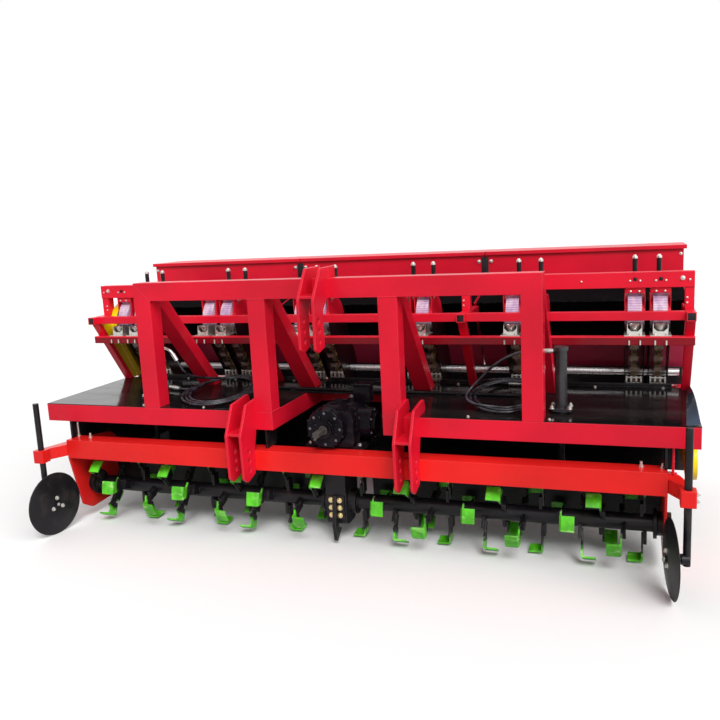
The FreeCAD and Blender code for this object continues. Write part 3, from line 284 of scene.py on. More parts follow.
@once
def enamel(name, shade, second=None, where=None):
    """Sprayed gloss enamel on welded tube: orange peel, faint fading, dust low down and a painted pale
    highlight along the edges.

    A second colour goes on where that mask is 1: a second paint on some parts, painted shade on others.
    """
    f = Finish(name)
    shade = tuple(shade)
    clouds = f.noise(2.2, 4.0)
    base = f.blend(f.step(clouds, 0.3, 0.7), scaled(shade, 0.86), scaled(shade, 1.1))
    rounded, edge = f.edges(0.005)
    scuffs_and_sheen = f.step(f.noise(38.0, 5.0, roughness=0.7), 0.5, 0.72)
    # Painted highlight: the edges are lightened towards a pale pink, broken up by the scuffs noise.
    base = f.blend(edge * (0.3 + 0.3 * scuffs_and_sheen), base, toward(shade, (0.9, 0.2, 0.22), 0.5))
    if where:
        other = f.blend(f.step(clouds, 0.3, 0.7), scaled(second, 0.8), scaled(second, 1.2))
        base = f.blend(where(f), base, other)
    dust = f.step(f.axis("Z"), 0.55, 0.0) * f.step(f.noise(9.0, 5.0), 0.4, 0.75) * 0.3
    base = f.blend(dust, base, ink(122, 92, 74))
    specks = f.step(f.noise(160.0, 2.0), 0.69, 0.75) * 0.18
    base = f.blend(specks, base, scaled(shade, 0.55))
    peel = f.bump(f.noise(240.0, 1.0), 0.0006, 0.22, rounded)
    rough = f.step(clouds, 0.2, 0.8, 0.26, 0.38) + dust * 0.5 + scuffs_and_sheen * 0.05
    return f.shade(Base_Color=base, Roughness=rough, Specular_IOR_Level=0.22, Normal=peel)


@once
def deck_gloss(name, shade):
    """Glossy black sheet with dusty smears and a faint ripple that bends reflections."""
    f = Finish(name)
    smear = f.step(f.noise(3.0, 6.0, (0.4, 1.6, 1.0), 0.6), 0.42, 0.72)
    prints = f.step(f.noise(24.0, 4.0), 0.58, 0.72)
    base = f.blend(smear * 0.12 + prints * 0.05, tuple(shade), ink(96, 90, 84))
    rough = 0.07 + smear * 0.13 + prints * 0.1
    ripple = f.bump(f.noise(5.0, 1.0), 0.004, 0.35)
    return f.shade(Base_Color=base, Roughness=rough, Normal=ripple, Specular_IOR_Level=0.08)


@once
def satin(name, shade, wear=0.5, roughness=0.34, shine=0.24, dirt=0.1):
    """Satin black paint on castings and forgings, rubbed to grey steel on the edges."""
    f = Finish(name)
    shade = tuple(shade)
    clouds = f.noise(7.0, 5.0)
    base = f.blend(f.step(clouds, 0.35, 0.7), scaled(shade, 0.75), scaled(shade, 1.35))
    rounded, edge = f.edges(0.003)
    rub = edge * f.step(f.noise(45.0, 5.0, roughness=0.7), 0.45, 0.6) * wear
    base = f.blend(rub, base, ink(120, 116, 112))
    dust = f.step(f.noise(14.0, 6.0), 0.5, 0.78) * dirt
    base = f.blend(dust, base, ink(120, 104, 90))
    grain = f.bump(f.noise(170.0, 4.0), 0.001, 0.35, rounded)
    rough = roughness + dust * 1.2 + f.step(clouds, 0.3, 0.8, 0.0, 0.12)
    return f.shade(Base_Color=base, Roughness=rough, Metallic=rub * 0.8, Specular_IOR_Level=shine,
                   Normal=grain)


@once
def plated(name, shade, stain=0.12):
    """Bright plating with a cloudy bloom and dark stain in places."""
    f = Finish(name)
    shade = tuple(shade)
    bloom = f.step(f.noise(24.0, 4.0), 0.4, 0.7)
    base = f.blend(bloom * 0.5, shade, scaled(shade, 0.8))
    spots = f.step(f.noise(90.0, 3.0), 0.6, 0.7) * stain
    base = f.blend(spots, base, ink(70, 58, 48))
    rough = 0.26 + bloom * 0.2 + spots * 0.3
    return f.shade(Base_Color=base, Roughness=rough, Metallic=0.75,
                   Normal=f.bump(f.noise(300.0, 2.0), 0.0002, 0.2))


def frame_paint(paints):
    return enamel("frame_enamel", paints.frame_red)


def black_paint(paints):
    return satin("satin_black", paints.satin_black)


def zinc_plate(paints):
    return plated("zinc_plate", paints.zinc)


def brass_plate(paints):
    return plated("brass_plate", paints.brass, stain=0.5)


def dipped_blades(paints):
    """Black blades with tips dipped in green; the line runs round the rotor's axis and is worn."""
    f = Finish("blade_dip")
    drips = f.noise(22.0, 4.0)
    tip = f.step(f.reach() + drips * 0.05, 0.158, 0.172)
    green = f.blend(f.step(f.noise(12.0, 4.0), 0.35, 0.7), scaled(paints.blade_green, 0.55),
                    scaled(paints.blade_green, 1.1))
    rubbed = f.step(f.noise(34.0, 5.0, (0.4, 1.0, 1.0)), 0.56, 0.68) * 0.45
    green = f.blend(rubbed, green, ink(196, 246, 150))
    black = f.blend(f.step(f.noise(30.0, 5.0), 0.4, 0.7), tuple(paints.satin_black), ink(46, 43, 42))
    base = f.blend(tip, black, green)
    rounded, edge = f.edges(0.003)
    rub = edge * f.step(f.noise(60.0, 4.0), 0.45, 0.6) * 0.6
    base = f.blend(rub, base, ink(150, 152, 140))
    return f.shade(Base_Color=base, Roughness=0.3 + rub * 0.1 + f.step(drips, 0.4, 0.8, 0.0, 0.15),
                   Normal=f.bump(f.noise(120.0, 3.0), 0.0008, 0.3, rounded), Coat_Weight=tip * 0.2,
                   Coat_Roughness=0.1, Specular_IOR_Level=0.3)


def clear_cover(paints):
    """Clear ribbed plastic: lilac above with a painted pale sheen along the ribs; below the ledge darker
    brown with dust, and lighter where the spoons show through.
    """
    f = Finish("clear_cover")
    high = f.step(f.axis("Z"), at(0, 0, 290).z, at(0, 0, 400).z)
    ribs = f.step(f.single("SINE", f.axis("Z") * 560.0), -0.4, 0.8)
    haze = f.step(f.noise(26.0, 5.0, (1.0, 1.0, 0.4)), 0.35, 0.75)
    bends = f.step(f.noise(9.0, 2.0, (3.0, 0.6, 0.6)), 0.42, 0.6)
    spoon = f.step(f.single("SINE", f.axis("Z") * 101.0), 0.0, 0.7) * f.step(f.across_row(), 0.025, 0.017)
    low_shade = f.blend(haze, ink(64, 46, 46), ink(128, 106, 102))
    low_shade = f.blend(spoon * 0.75, low_shade, ink(196, 176, 164))
    lilac = f.blend(bends * 0.6, tuple(paints.cover_tint), ink(164, 132, 196))
    # Painted reflection: the ribs lighten the lilac towards near white as the sky's reflection would; the
    # haze lightens it too.
    high_shade = f.blend(haze * 0.5 + ribs * 0.35, lilac, ink(246, 236, 242))
    base = f.blend(high, low_shade, high_shade)
    rim = f.step(f.across_row(), 0.0285, 0.0305) * (1 - high)
    alpha = (0.2 + 0.44 * high + 0.14 * haze + 0.06 * ribs + 0.3 * spoon * (1 - high)) * (1 - 0.8 * rim)
    return f.shade(Base_Color=base, Alpha=alpha, Roughness=0.18 + haze * 0.2, Coat_Weight=0.2,
                   Normal=f.bump(ribs, 0.0015, 0.4))


def hose_rubber():
    """Wire-wound hydraulic hose: black rubber with a fine wrapped texture and a painted grey-blue sheen in
    patches.
    """
    f = Finish("hose_rubber")
    bloom = f.step(f.noise(30.0, 4.0), 0.4, 0.75)
    # Painted sheen: the bloom patches lighten the rubber to grey-blue, as its highlights would look.
    base = f.blend(bloom * 0.5, ink(26, 25, 31), ink(74, 74, 86))
    wrap = f.noise(700.0, 1.0)
    return f.shade(Base_Color=base, Roughness=0.26 + bloom * 0.14, Normal=f.bump(wrap, 0.0003, 0.3))


def cylinder_paint(paints):
    """Black cylinder barrels with bright pipe work above the deck."""
    f = Finish("cylinder_paint")
    pipe = f.step(f.single("ABSOLUTE", f.axis("X")), 1.029, 1.025)
    clouds = f.noise(20.0, 4.0)
    black = f.blend(f.step(clouds, 0.4, 0.7), tuple(paints.satin_black), ink(44, 42, 46))
    base = f.blend(pipe * f.step(f.axis("Z"), 0.75, 0.76), black, tuple(paints.zinc))
    rounded = f.rounded(0.002)
    return f.shade(Base_Color=base, Roughness=0.28 + 0.1 * clouds, Metallic=pipe * 0.8,
                   Normal=f.bump(f.noise(200.0, 2.0), 0.0005, 0.3, rounded))


def yellow_guard(paints):
    """Yellow enamel with scratches, and painted shade below the ledge on the left."""
    f = Finish("guard_yellow")
    yellow = tuple(paints.guard_yellow)
    clouds = f.step(f.noise(6.0, 4.0), 0.35, 0.7)
    base = f.blend(clouds, scaled(yellow, 0.92), yellow)
    scratch = f.step(f.noise(50.0, 4.0, (0.2, 1.0, 3.0)), 0.64, 0.7) * 0.35
    base = f.blend(scratch, base, ink(120, 96, 40))
    # Painted shade: below the ledge, on the left, the yellow darkens to olive brown.
    shaded = f.below(270, 40) * f.step(f.axis("X"), 0.1, -0.1)
    base = f.blend(shaded * 0.7, base, ink(150, 108, 40))
    rounded = f.rounded(0.003)
    return f.shade(Base_Color=base, Roughness=0.34 + scratch * 0.3, Coat_Weight=0.2,
                   Normal=f.bump(f.noise(260.0, 1.0), 0.0005, 0.3, rounded))


def coat(material, *names):
    """Gives these parts of the machine that finish."""
    for name in names:
        for slot in NODES[name].material_slots:
            slot.material = material


# ---------------------------------------------------------------- shapes
class Shape:
    """Mesh built in machine millimetres."""

    def __init__(self):
        self.bm = bmesh.new()

    def block(self, low, high, rounding=0.0, turn=None):
        low, high = Vector(low), Vector(high)
        place = Matrix.Translation((low + high) / 2) @ (turn or Matrix())
        place = place @ Matrix.Diagonal((*(high - low), 1.0))
        verts = bmesh.ops.create_cube(self.bm, size=1.0, matrix=place)["verts"]
        if rounding:
            self.soften({e for v in verts for e in v.link_edges}, rounding)

    def soften(self, edges, rounding):
        bmesh.ops.bevel(self.bm, geom=list(edges), offset=rounding, offset_type="OFFSET", segments=2,
                        profile=0.5, affect="EDGES", material=-1)

    def rod(self, start, end, radius, tip=None, sides=12):
        start, end = Vector(start), Vector(end)
        along = end - start
        place = Matrix.Translation((start + end) / 2) @ along.to_track_quat("Z", "Y").to_matrix().to_4x4()
        return bmesh.ops.create_cone(self.bm, cap_ends=True, segments=sides, radius1=radius,
                                     radius2=radius if tip is None else tip, depth=along.length,
                                     matrix=place)["verts"]

    def plate(self, corners, out, thickness, rounding=0.0):
        """Flat plate with that outline, as thick as given along out."""
        out = Vector(out).normalized()
        face = self.bm.faces.new([self.bm.verts.new(c) for c in corners])
        grown = bmesh.ops.extrude_face_region(self.bm, geom=[face])["geom"]
        verts = [g for g in grown if isinstance(g, bmesh.types.BMVert)]
        bmesh.ops.translate(self.bm, vec=out * thickness, verts=verts)
        if rounding:
            self.soften({e for v in verts for e in v.link_edges}, rounding)

    def bolt(self, place, along, across, washer=True, stud=0.0):
        """Hexagon head on its washer, or a nut with its stud standing out."""
        place, along = Vector(place), Vector(along).normalized()
        radius = across * 0.577
        start = place
        if washer:
            start = place + along * across * 0.12
            self.rod(place - along * 0.2, start, radius * 1.3)
        top = start + along * across * 0.5
        self.rod(start, top, radius, sides=6)
        self.rod(top, top + along * across * 0.08, radius, radius * 0.8, sides=6)
        if stud:
            self.rod(top, top + along * stud, across * 0.3, sides=8)

    def bead(self, start, end, radius):
        """Weld bead along a joint."""
        self.rod(start, end, radius, sides=8)

    def sweep(self, corners, centre, start, angle, steps):
        """Turns an outline to the start angle and sweeps it round an axis along X through centre (Y, Z)."""
        face = self.bm.faces.new([self.bm.verts.new(c) for c in corners])
        bmesh.ops.rotate(self.bm, cent=(0, *centre), matrix=Matrix.Rotation(start, 3, "X"), verts=face.verts)
        bmesh.ops.spin(self.bm, geom=[face], cent=(0, *centre), axis=(1, 0, 0), angle=angle, steps=steps,
                       use_merge=False)

    def make(self, name, material, slot, body="machine"):
        """Finished piece in the shared frame, riding on that body."""
        bmesh.ops.transform(self.bm, matrix=TO_FRAME, verts=self.bm.verts)
        bmesh.ops.recalc_face_normals(self.bm, faces=self.bm.faces)
        mesh = bpy.data.meshes.new(name)
        self.bm.to_mesh(mesh)
        self.bm.free()
        mesh.materials.append(material)
        mesh.shade_smooth()
        mesh.set_sharp_from_angle(angle=SHARP_FROM)
        piece = bpy.data.objects.new(name, mesh)
        bpy.context.scene.collection.objects.link(piece)
        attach(piece, body)


def casing_front(z):
    """Y of the straight front of a row's casing at height z."""
    return CASING_TOP[0] + (CASING_TOP[1] - z) * CASING_LEAN


# ---------------------------------------------------------------- operators
class PLANTER_OT_frame(bpy.types.Operator):
    """Paints the deck frame, gantry, hitch and seeding frame and adds their bolts and welds"""
    bl_idname = "planter.frame"
    bl_label = "Frame and Hitch"

    def execute(self, context):
        paints = context.scene.planter_paints
        fixings = context.scene.planter_fixings
        red = frame_paint(paints)
        coat(red, "deck_rails", "deck_cross_beams", "gantry_posts", "gantry_top_beam", "gantry_braces",
             "upper_hitch", "lower_hitch", "seeder_rails", "seeder_slants", "seeder_sills", "seeder_top_beam",
             "seeder_cross_tubes", "seeder_posts", "rear_beam")
        # Painted shade: the ledge's lip below 296 mm is a much darker red, as it lies in shadow.
        coat(enamel("ledge_enamel", paints.frame_red, scaled(paints.frame_red, 0.32),
                    lambda f: f.below(296)), "seeder_ledge")
        black = black_paint(paints)
        coat(black, "opener_bar", "tiller_mount_plates")
        bolts, holes, caps = Shape(), Shape(), Shape()
        size = fixings.bolt * MM
        for x in ROWS:
            for side in (-22, 22):
                bolts.bolt((x + side, BEAM_FACE, 549), FORWARD, size * 0.62, washer=False)
            # Painted shade: thin black patches on the beam's face stand in for its slots, dark with the shade
            # inside.
            holes.block((x - 8, BEAM_FACE - 0.6, 548), (x + 8, BEAM_FACE + 0.5, 564), 2.5)
        for x in (-1569, -592, 592, 1569):
            bolts.bolt((x, BEAM_FACE, 558), FORWARD, size)
        for x in (-1599, -1124, -540, 540, 1124, 1599):
            bolts.bolt((x, BEAM_FACE, 550), FORWARD, size * 0.6, washer=False)
        for x in (-1600, -566, 566, 1600):
            # Painted shade: a black cap stands in for the shade inside the open end of the rail.
            caps.block((x - 15.6, 403, 380.4), (x + 15.6, 412, 411.6), 1.5)
            for z in (384, 408):
                bolts.bolt((x + (11 if x < 0 else -11), 550, z + 60), FORWARD, size * 0.6, washer=False)
        bolts.make("frame_bolts", zinc_plate(paints), slot="zinc")
        holes.make("beam_slots", black, slot="black_paint")
        caps.make("rail_end_shade_caps", black, slot="black_paint")
        welds = Shape()
        bead = fixings.weld * MM
        for side in (-1, 1):
            for post in (OUTER_POST, INNER_POST):
                a, b = side * post[0], side * post[1]
                for x in (a, b):
                    welds.bead((x, 2, 0), (x, 88, 0), bead * 0.8)
                welds.bead((a, 89, 1), (b, 89, 1), bead)
            welds.bead((a, 1, GANTRY_BEAM), (b, 1, GANTRY_BEAM), bead * 0.8)
            for x in (a - side, b + side):
                welds.bead((x, 4, GANTRY_BEAM), (x, 86, GANTRY_BEAM), bead * 0.8)
        welds.make("frame_welds", red, slot="frame_red")
        return {"FINISHED"}


class PLANTER_OT_deck(bpy.types.Operator):
    """Gives the deck its black gloss and adds its bolts, edge strips, the pipe across it and the end flap"""
    bl_idname = "planter.deck"
    bl_label = "Deck"

    def execute(self, context):
        paints = context.scene.planter_paints
        size = context.scene.planter_fixings.bolt * MM
        coat(deck_gloss("deck_gloss", paints.gloss_black), "deck_sheets")
        bolts = Shape()
        for y, spots in ((26, (1022, 670)), (712, (1500, 1180, 860, 480))):
            for x in spots:
                for side in (-1, 1):
                    bolts.bolt((side * x, y, SHEET_TOP), UP, size * 0.8)
        bolts.make("deck_bolts", zinc_plate(paints), slot="zinc")
        edge = Shape()
        for a, b in ((-1540, -1008), (-902, -378), (-272, 272), (378, 902), (1008, 1540)):
            edge.block((a, 730, SHEET_TOP), (b, 734, SHEET_TOP + 20), 1.2)
            edge.block((a, 724, SHEET_TOP), (b, 730, SHEET_TOP + 3), 1.0)
        # Black sheets that stand in for the shade under the deck: one under the deck's left side with a strip
        # beside its top, and one at the right rear.
        edge.block((-1564, 92, -420), (-1560, 656, -90), 1.2)
        edge.block((-1582, 92, -104), (-1564, 656, -90), 1.2)
        edge.block((1560, 652, -390), (1598, 656, -90), 1.2)
        edge.make("deck_edges_and_shade_sheets", black_paint(paints), slot="black_paint")
        self.flap()
        pipe = Shape()
        start, end = Vector((-496, 491, 11)), Vector((842, 447, 11))
        pipe.rod(start, end, 7, sides=16)
        pipe.rod((-512, 491.5, 11), (-490, 490.8, 11), 10, sides=6)
        pipe.rod((836, 447.2, 11), (858, 446.5, 11), 10, sides=6)
        for x in (-380, 540):
            y = start.y + (end.y - start.y) * (x - start.x) / (end.x - start.x)
            pipe.block((x - 12, y - 16, SHEET_TOP), (x + 12, y + 16, SHEET_TOP + 3), 0.8)
            pipe.block((x - 12, y - 10, SHEET_TOP + 3), (x + 12, y + 10, SHEET_TOP + 16), 3.0)
        pipe.make("deck_pipe", black_paint(paints), slot="black_paint")
        return {"FINISHED"}

    def flap(self):
        """Loose sheet on the deck's right edge, bowed up along its outer side."""
        flap = Shape()
        verts = bmesh.ops.create_grid(flap.bm, x_segments=4, y_segments=12, size=0.5)["verts"]
        for vert in verts:
            share, along = vert.co.x + 0.5, vert.co.y + 0.5
            inner = 1563 + 42 * along
            rise = 46 * share ** 1.2 * math.sin(math.pi * (0.06 + 0.8 * along))
            vert.co = (inner + (1616 - inner) * share, 14 + 690 * along, 4.4 + rise)
        bmesh.ops.solidify(flap.bm, geom=list(flap.bm.faces), thickness=2.0)
        # Painted reflection: the black flap's colour is a blue-grey that stands in for the sky it reflects.
        flap.make("deck_flap", deck_gloss("flap_gloss", ink(78, 92, 110)), slot="black_paint")


class PLANTER_OT_tiller(bpy.types.Operator):
    """Paints the tiller beam, side plates, hood and rotor and adds the studs, bolts and end strut"""
    bl_idname = "planter.tiller"
    bl_label = "Tiller and Rotor"

    def execute(self, context):
        paints = context.scene.planter_paints
        size = context.scene.planter_fixings.bolt * MM
        coat(enamel("tiller_enamel", paints.tiller_red), "tiller_beam", "disc_clamps")
        coat(enamel("plate_enamel", paints.tiller_red, tuple(paints.satin_black),
                    lambda f: f.step(f.reach(), 0.0545, 0.053)), "tiller_side_plates")
        black = black_paint(paints)
        coat(black, "rotor_hood", "rotor_tube", "centre_drive_case", "centre_point")
        coat(dipped_blades(paints), "rotor_blades")
        studs = Shape()
        for x, y, tall in ((-1484, 58, 78), (-1394, 41, 24), (1394, 41, 24), (1478, 41, 20), (1506, 44, 8)):
            base = TILLER_TOP if abs(x) < TILLER_END else CLAMP_SEAT
            studs.rod((x, y, base), (x, y, base + tall), 6)
            studs.bolt((x, y, base), UP, size * 1.1)
        strut = Shape()
        strut.block((1513, 32, CLAMP_SEAT), (1523, 56, -90), 1.5)
        strut.block((1500, 32, CLAMP_SEAT), (1534, 56, CLAMP_SEAT + 6), 1.5)
        strut.make("end_strut", frame_paint(paints), slot="frame_red")
        studs.make("tiller_studs", zinc_plate(paints), slot="zinc")
        brass = Shape()
        for side in (-22, 22):
            for z in (-445, -483, -521):
                brass.bolt((side, 58, z), FORWARD, 18)
        brass.make("case_bolts", brass_plate(paints), slot="zinc")
        return {"FINISHED"}


class PLANTER_OT_gearbox(bpy.types.Operator):
    """Paints the gearbox and its shaft and adds the ribs of the cover, the bolts and the riser"""
    bl_idname = "planter.gearbox"
    bl_label = "Gearbox"

    def execute(self, context):
        paints = context.scene.planter_paints
        casting = satin("gearbox_black", ink(20, 16, 23), roughness=0.16, shine=0.07)
        coat(casting, "gearbox", "gearbox_cover")
        zinc = zinc_plate(paints)
        dark = plated("dark_zinc", ink(112, 110, 116), stain=0.5)
        coat(satin("oiled_steel", ink(66, 62, 60), wear=1.0), "input_shaft")
        bolts, ribs = Shape(), Shape()
        for k in range(8):
            angle = math.radians(45 * k)
            x, z = INPUT_X + 76 * math.sin(angle), INPUT_Z + 76 * math.cos(angle)
            bolts.bolt((x, 26, z), FORWARD, 9)
            rib = Matrix.Rotation(angle + math.radians(22.5), 4, "Y")
            middle = Vector((INPUT_X, 23, INPUT_Z)) + rib @ Vector((0, 0, 58))
            ribs.block(middle - Vector((2.5, 4, 12)), middle + Vector((2.5, 4, 12)), 1.2, rib)
        ribs.make("cover_ribs", casting, slot="black_paint")
        riser = Shape()
        riser.block((36, 272, -6), (128, 338, 78), 7)
        riser.block((30, 266, 78), (134, 344, 88), 2)
        riser.make("gearbox_riser", casting, slot="black_paint")
        for k in range(6):
            angle = math.radians(60 * k + 30)
            y, z = 190 + 67 * math.cos(angle), INPUT_Z - 5 + 67 * math.sin(angle)
            bolts.bolt((176, y, z), (1, 0, 0), 9)
        bolts.bolt((40, 250, 28), UP, 16)
        bolts.make("gearbox_bolts", dark, slot="zinc")
        feet = Shape()
        for x in (-128, 128):
            for y in (95, 300):
                feet.bolt((x, y, -173), UP, 15)
        feet.make("gearbox_foot_bolts", zinc, slot="zinc")
        return {"FINISHED"}


class PLANTER_OT_discs(bpy.types.Operator):
    """Paints the marker discs and their shanks and adds the hub bolts and clamp screws"""
    bl_idname = "planter.discs"
    bl_label = "Marker Discs"

    def execute(self, context):
        paints = context.scene.planter_paints
        size = context.scene.planter_fixings.bolt * MM
        black = black_paint(paints)
        coat(black, "disc_left", "disc_right", "disc_shanks")
        zinc = zinc_plate(paints)
        for side, name in ((-1, "left"), (1, "right")):
            inward = Vector((-side * math.cos(DISC_TOE), -math.sin(DISC_TOE), 0))
            centre = Vector((side * SHANK_X, SHANK_Y, HUB_Z)) + inward * 76
            across = Vector(UP).cross(inward)
            hub = Shape()
            for k in range(3):
                angle = math.radians(120 * k + 90)
                spot = centre + (across * math.cos(angle) + Vector(UP) * math.sin(angle)) * 34
                hub.bolt(spot, inward, 15)
            hub.rod(centre + inward * 1, centre + inward * 10, 11, 8, 16)
            hub.make("disc_bolts_" + name, zinc, body="disc_wheel_" + name, slot="zinc")
        screws = Shape()
        for side in (-1, 1):
            for z in (-258, -230):
                screws.bolt((side * 1595, SHANK_Y, z), (side, 0, 0), size, washer=False, stud=7)
        screws.make("clamp_screws", zinc, slot="zinc")
        return {"FINISHED"}


class PLANTER_OT_rows(bpy.types.Operator):
    """Finishes the twelve seeding rows: covers, trays, spoons, seed cups, window frames and gate sleeves"""
    bl_idname = "planter.rows"
    bl_label = "Seeding Rows"

    def execute(self, context):
        paints = context.scene.planter_paints
        size = context.scene.planter_fixings.bolt * MM
        red = frame_paint(paints)
        zinc = zinc_plate(paints)
        black = black_paint(paints)
        # Painted shade: the row side plates below 384 mm are nearly black, as they lie in the shade under the
        # ledge.
        coat(enamel("row_enamel", paints.frame_red, ink(34, 13, 18), lambda f: f.below(384, 4)),
             "row_side_plates")
        coat(zinc, "row_brackets", "tension_shafts")
        coat(plated("bright_bar", ink(232, 232, 232), stain=0.0), "seed_shaft")
        coat(brass_plate(paints), "spoon_chains")
        plastic = clear_cover(paints)
        coat(plastic, "row_covers")
        coat(black, "gate_rods")
        windows, holders, screws, caps, sleeves, tops, trays = [Shape() for _ in range(7)]
        face, level = TOP_SPROCKET[0] - COVER_RADIUS, TOP_SPROCKET[1]
        front, inner = face - TRAY_RISE, TRAY_HALF - TRAY_WALL
        tray = ((-TRAY_HALF, front), (TRAY_HALF, front), (TRAY_HALF, face), (inner, face),
                (inner, front + TRAY_WALL), (-inner, front + TRAY_WALL), (-inner, face), (-TRAY_HALF, face))
        for x in ROWS:
            for side in (-1, 1):
                a, b = x + side * 27, x + side * 46
                windows.sweep([(a, face, level), (b, face, level), (b, face - 3, level),
                               (a, face - 3, level)], TOP_SPROCKET, COVER_CREST, math.radians(78), 10)
            trays.sweep([(x + across, y, level) for across, y in tray],
                        TOP_SPROCKET, COVER_CREST, math.radians(87), 12)
            windows.block((x - 43, 556, 490), (x + 43, 559.5, 516), 0.8)
            tops.plate([(x - 27, 560.5, 493), (x + 27, 560.5, 493), (x + 27, 616, 466), (x - 27, 616, 466)],
                       (0, 0.44, 0.9), 2.0)
            for side in (-1, 1):
                screws.bolt((x + side * 19, 556, 499), FORWARD, size * 0.62, washer=False)
                screws.rod((x + side * 24, 439, 264), (x + side * 24, 439, 285), 4.2, sides=8)
                screws.bolt((x + side * 24, 468, LEDGE_TOP), UP, size * 0.7)
            self.holder(holders, x)
            sleeves.rod((x, GATE_Y, 545), (x, GATE_Y, 638), 12, sides=12)
            caps.rod((x, GATE_Y, 638), (x, GATE_Y, 647), 14, sides=6)
            caps.rod((x, GATE_Y, 647), (x, GATE_Y, 656), 11, 5, sides=12)
        windows.make("row_windows", red, slot="frame_red")
        tops.make("row_cover_tops", plastic, slot="clear_plastic")
        trays.make("row_cover_trays", plastic, slot="clear_plastic")
        holders.make("row_holders", zinc, slot="zinc")
        screws.make("row_screws", zinc, slot="zinc")
        sleeves.make("gate_sleeves", black, slot="black_paint")
        caps.make("gate_caps", zinc, slot="zinc")
        return {"FINISHED"}

    def holder(self, shape, x):
        """Plated seed cup between its cheeks on the ledge, and the guide at the foot of the row."""
        back = casing_front(LEDGE_TOP)
        for side in (-1, 1):
            a = x + side * 33
            shape.plate([(a, 470, LEDGE_TOP), (a, back - 1, LEDGE_TOP), (a, casing_front(348) - 4, 356),
                         (a, 476, 356)], (-side, 0, 0), 3, 0.5)
        shape.plate([(x - 33, 470, LEDGE_TOP), (x + 33, 470, LEDGE_TOP), (x + 33, 474, 340),
                     (x + 14, 473, 322), (x - 14, 473, 322), (x - 33, 474, 340)], (0, 1, 0), 3, 0.5)
        cup = shape.rod((x, 502, 318), (x, 502, 352), 16, 27, 16)
        ends = {f for v in cup for f in v.link_faces if len(f.verts) > 4}
        bmesh.ops.delete(shape.bm, geom=list(ends), context="FACES_ONLY")
        walls = list({f for v in cup for f in v.link_faces})
        bmesh.ops.solidify(shape.bm, geom=walls, thickness=2.0)
        for z in (14, 46):
            y = casing_front(z) - 9
            shape.block((x - 38, y, z), (x + 38, y + 8, z + 7), 1.0)
        for side in (-34, -12, 12, 34):
            y = casing_front(30) - 8
            shape.block((x + side - 4, y - 10, 10), (x + side + 4, y + 6, 56), 1.0)


class PLANTER_OT_hopper(bpy.types.Operator):
    """Paints the hopper and lids and adds the joint strips, bolts and a matt black sheet that stands in for
    the deep shade in the hopper's throat
    """
    bl_idname = "planter.hopper"
    bl_label = "Hopper"

    def execute(self, context):
        paints = context.scene.planter_paints
        size = context.scene.planter_fixings.bolt * MM
        red = frame_paint(paints)
        coat(red, "hopper_lid_left", "hopper_lid_middle", "hopper_lid_right")
        # Painted shade: the bins' front slope below the ledge takes a darker, duller red.
        coat(enamel("bin_enamel", paints.frame_red, ink(190, 52, 84), self.painted_slope_shade), "hopper_bin_left",
             "hopper_bin_middle", "hopper_bin_right")
        strips, bolts, shade_sheet = Shape(), Shape(), Shape()
        for x in (-PAIR_STEP, PAIR_STEP):
            strips.block((x - 19, BIN_FRONT - 5, 506), (x + 19, BIN_FRONT - 0.2, 656), 1.0)
            strips.block((x - 19, BIN_BACK + 0.2, 340), (x + 19, BIN_BACK + 4, 640), 1.0)
            for side in (-34, 34):
                for z in (530, 632):
                    bolts.bolt((x + side, BIN_FRONT, z), FORWARD, size)
                    bolts.bolt((x + side, BIN_BACK, z), (0, 1, 0), size)
        for x in (-1590, 1590):
            bolts.bolt((x, BIN_FRONT, 640), FORWARD, size * 0.8)
        strips.make("hopper_strips", black_paint(paints), slot="black_paint")
        bolts.make("hopper_bolts", zinc_plate(paints), slot="zinc")
        # Painted shade: matt black sheets over the hopper's throat stand in for the deep shade there.
        slope = (Vector((0, *THROAT_FOOT)) - Vector((0, *THROAT_TOP))).normalized()
        out = Vector((0, slope.z, -slope.y)).normalized()
        start = Vector((0, *THROAT_TOP)) - slope * 2 + out * 0.4
        end = start + slope * 253
        for a, b in ((-1600, -575), (-561, 561), (575, 1600)):
            shade_sheet.plate([(a, start.y, start.z), (b, start.y, start.z), (b, end.y, end.z), (a, end.y, end.z)],
                         out, 2.0)
            shade_sheet.plate([(a, 783, 430.6), (b, 783, 430.6), (b, 1098, 498.4), (a, 1098, 498.4)],
                         (0, -0.21, 0.98), 2.0)
        shade_black = satin("matt_black", ink(8, 9, 11), wear=0.2, roughness=0.8, shine=0.02, dirt=0.01)
        shade_sheet.make("hopper_shade_sheet", shade_black, slot="black_paint")
        return {"FINISHED"}

    def painted_slope_shade(self, f):
        """Mask of the bins' front slope below the ledge, where a darker red is painted as the shade that
        falls there.
        """
        inside = f.step(f.single("ABSOLUTE", f.axis("X")), 1.6035, 1.6015)
        return f.below(300, 6) * inside * f.step(f.axis("Y"), at(0, 1045, 0).y, at(0, 1030, 0).y)


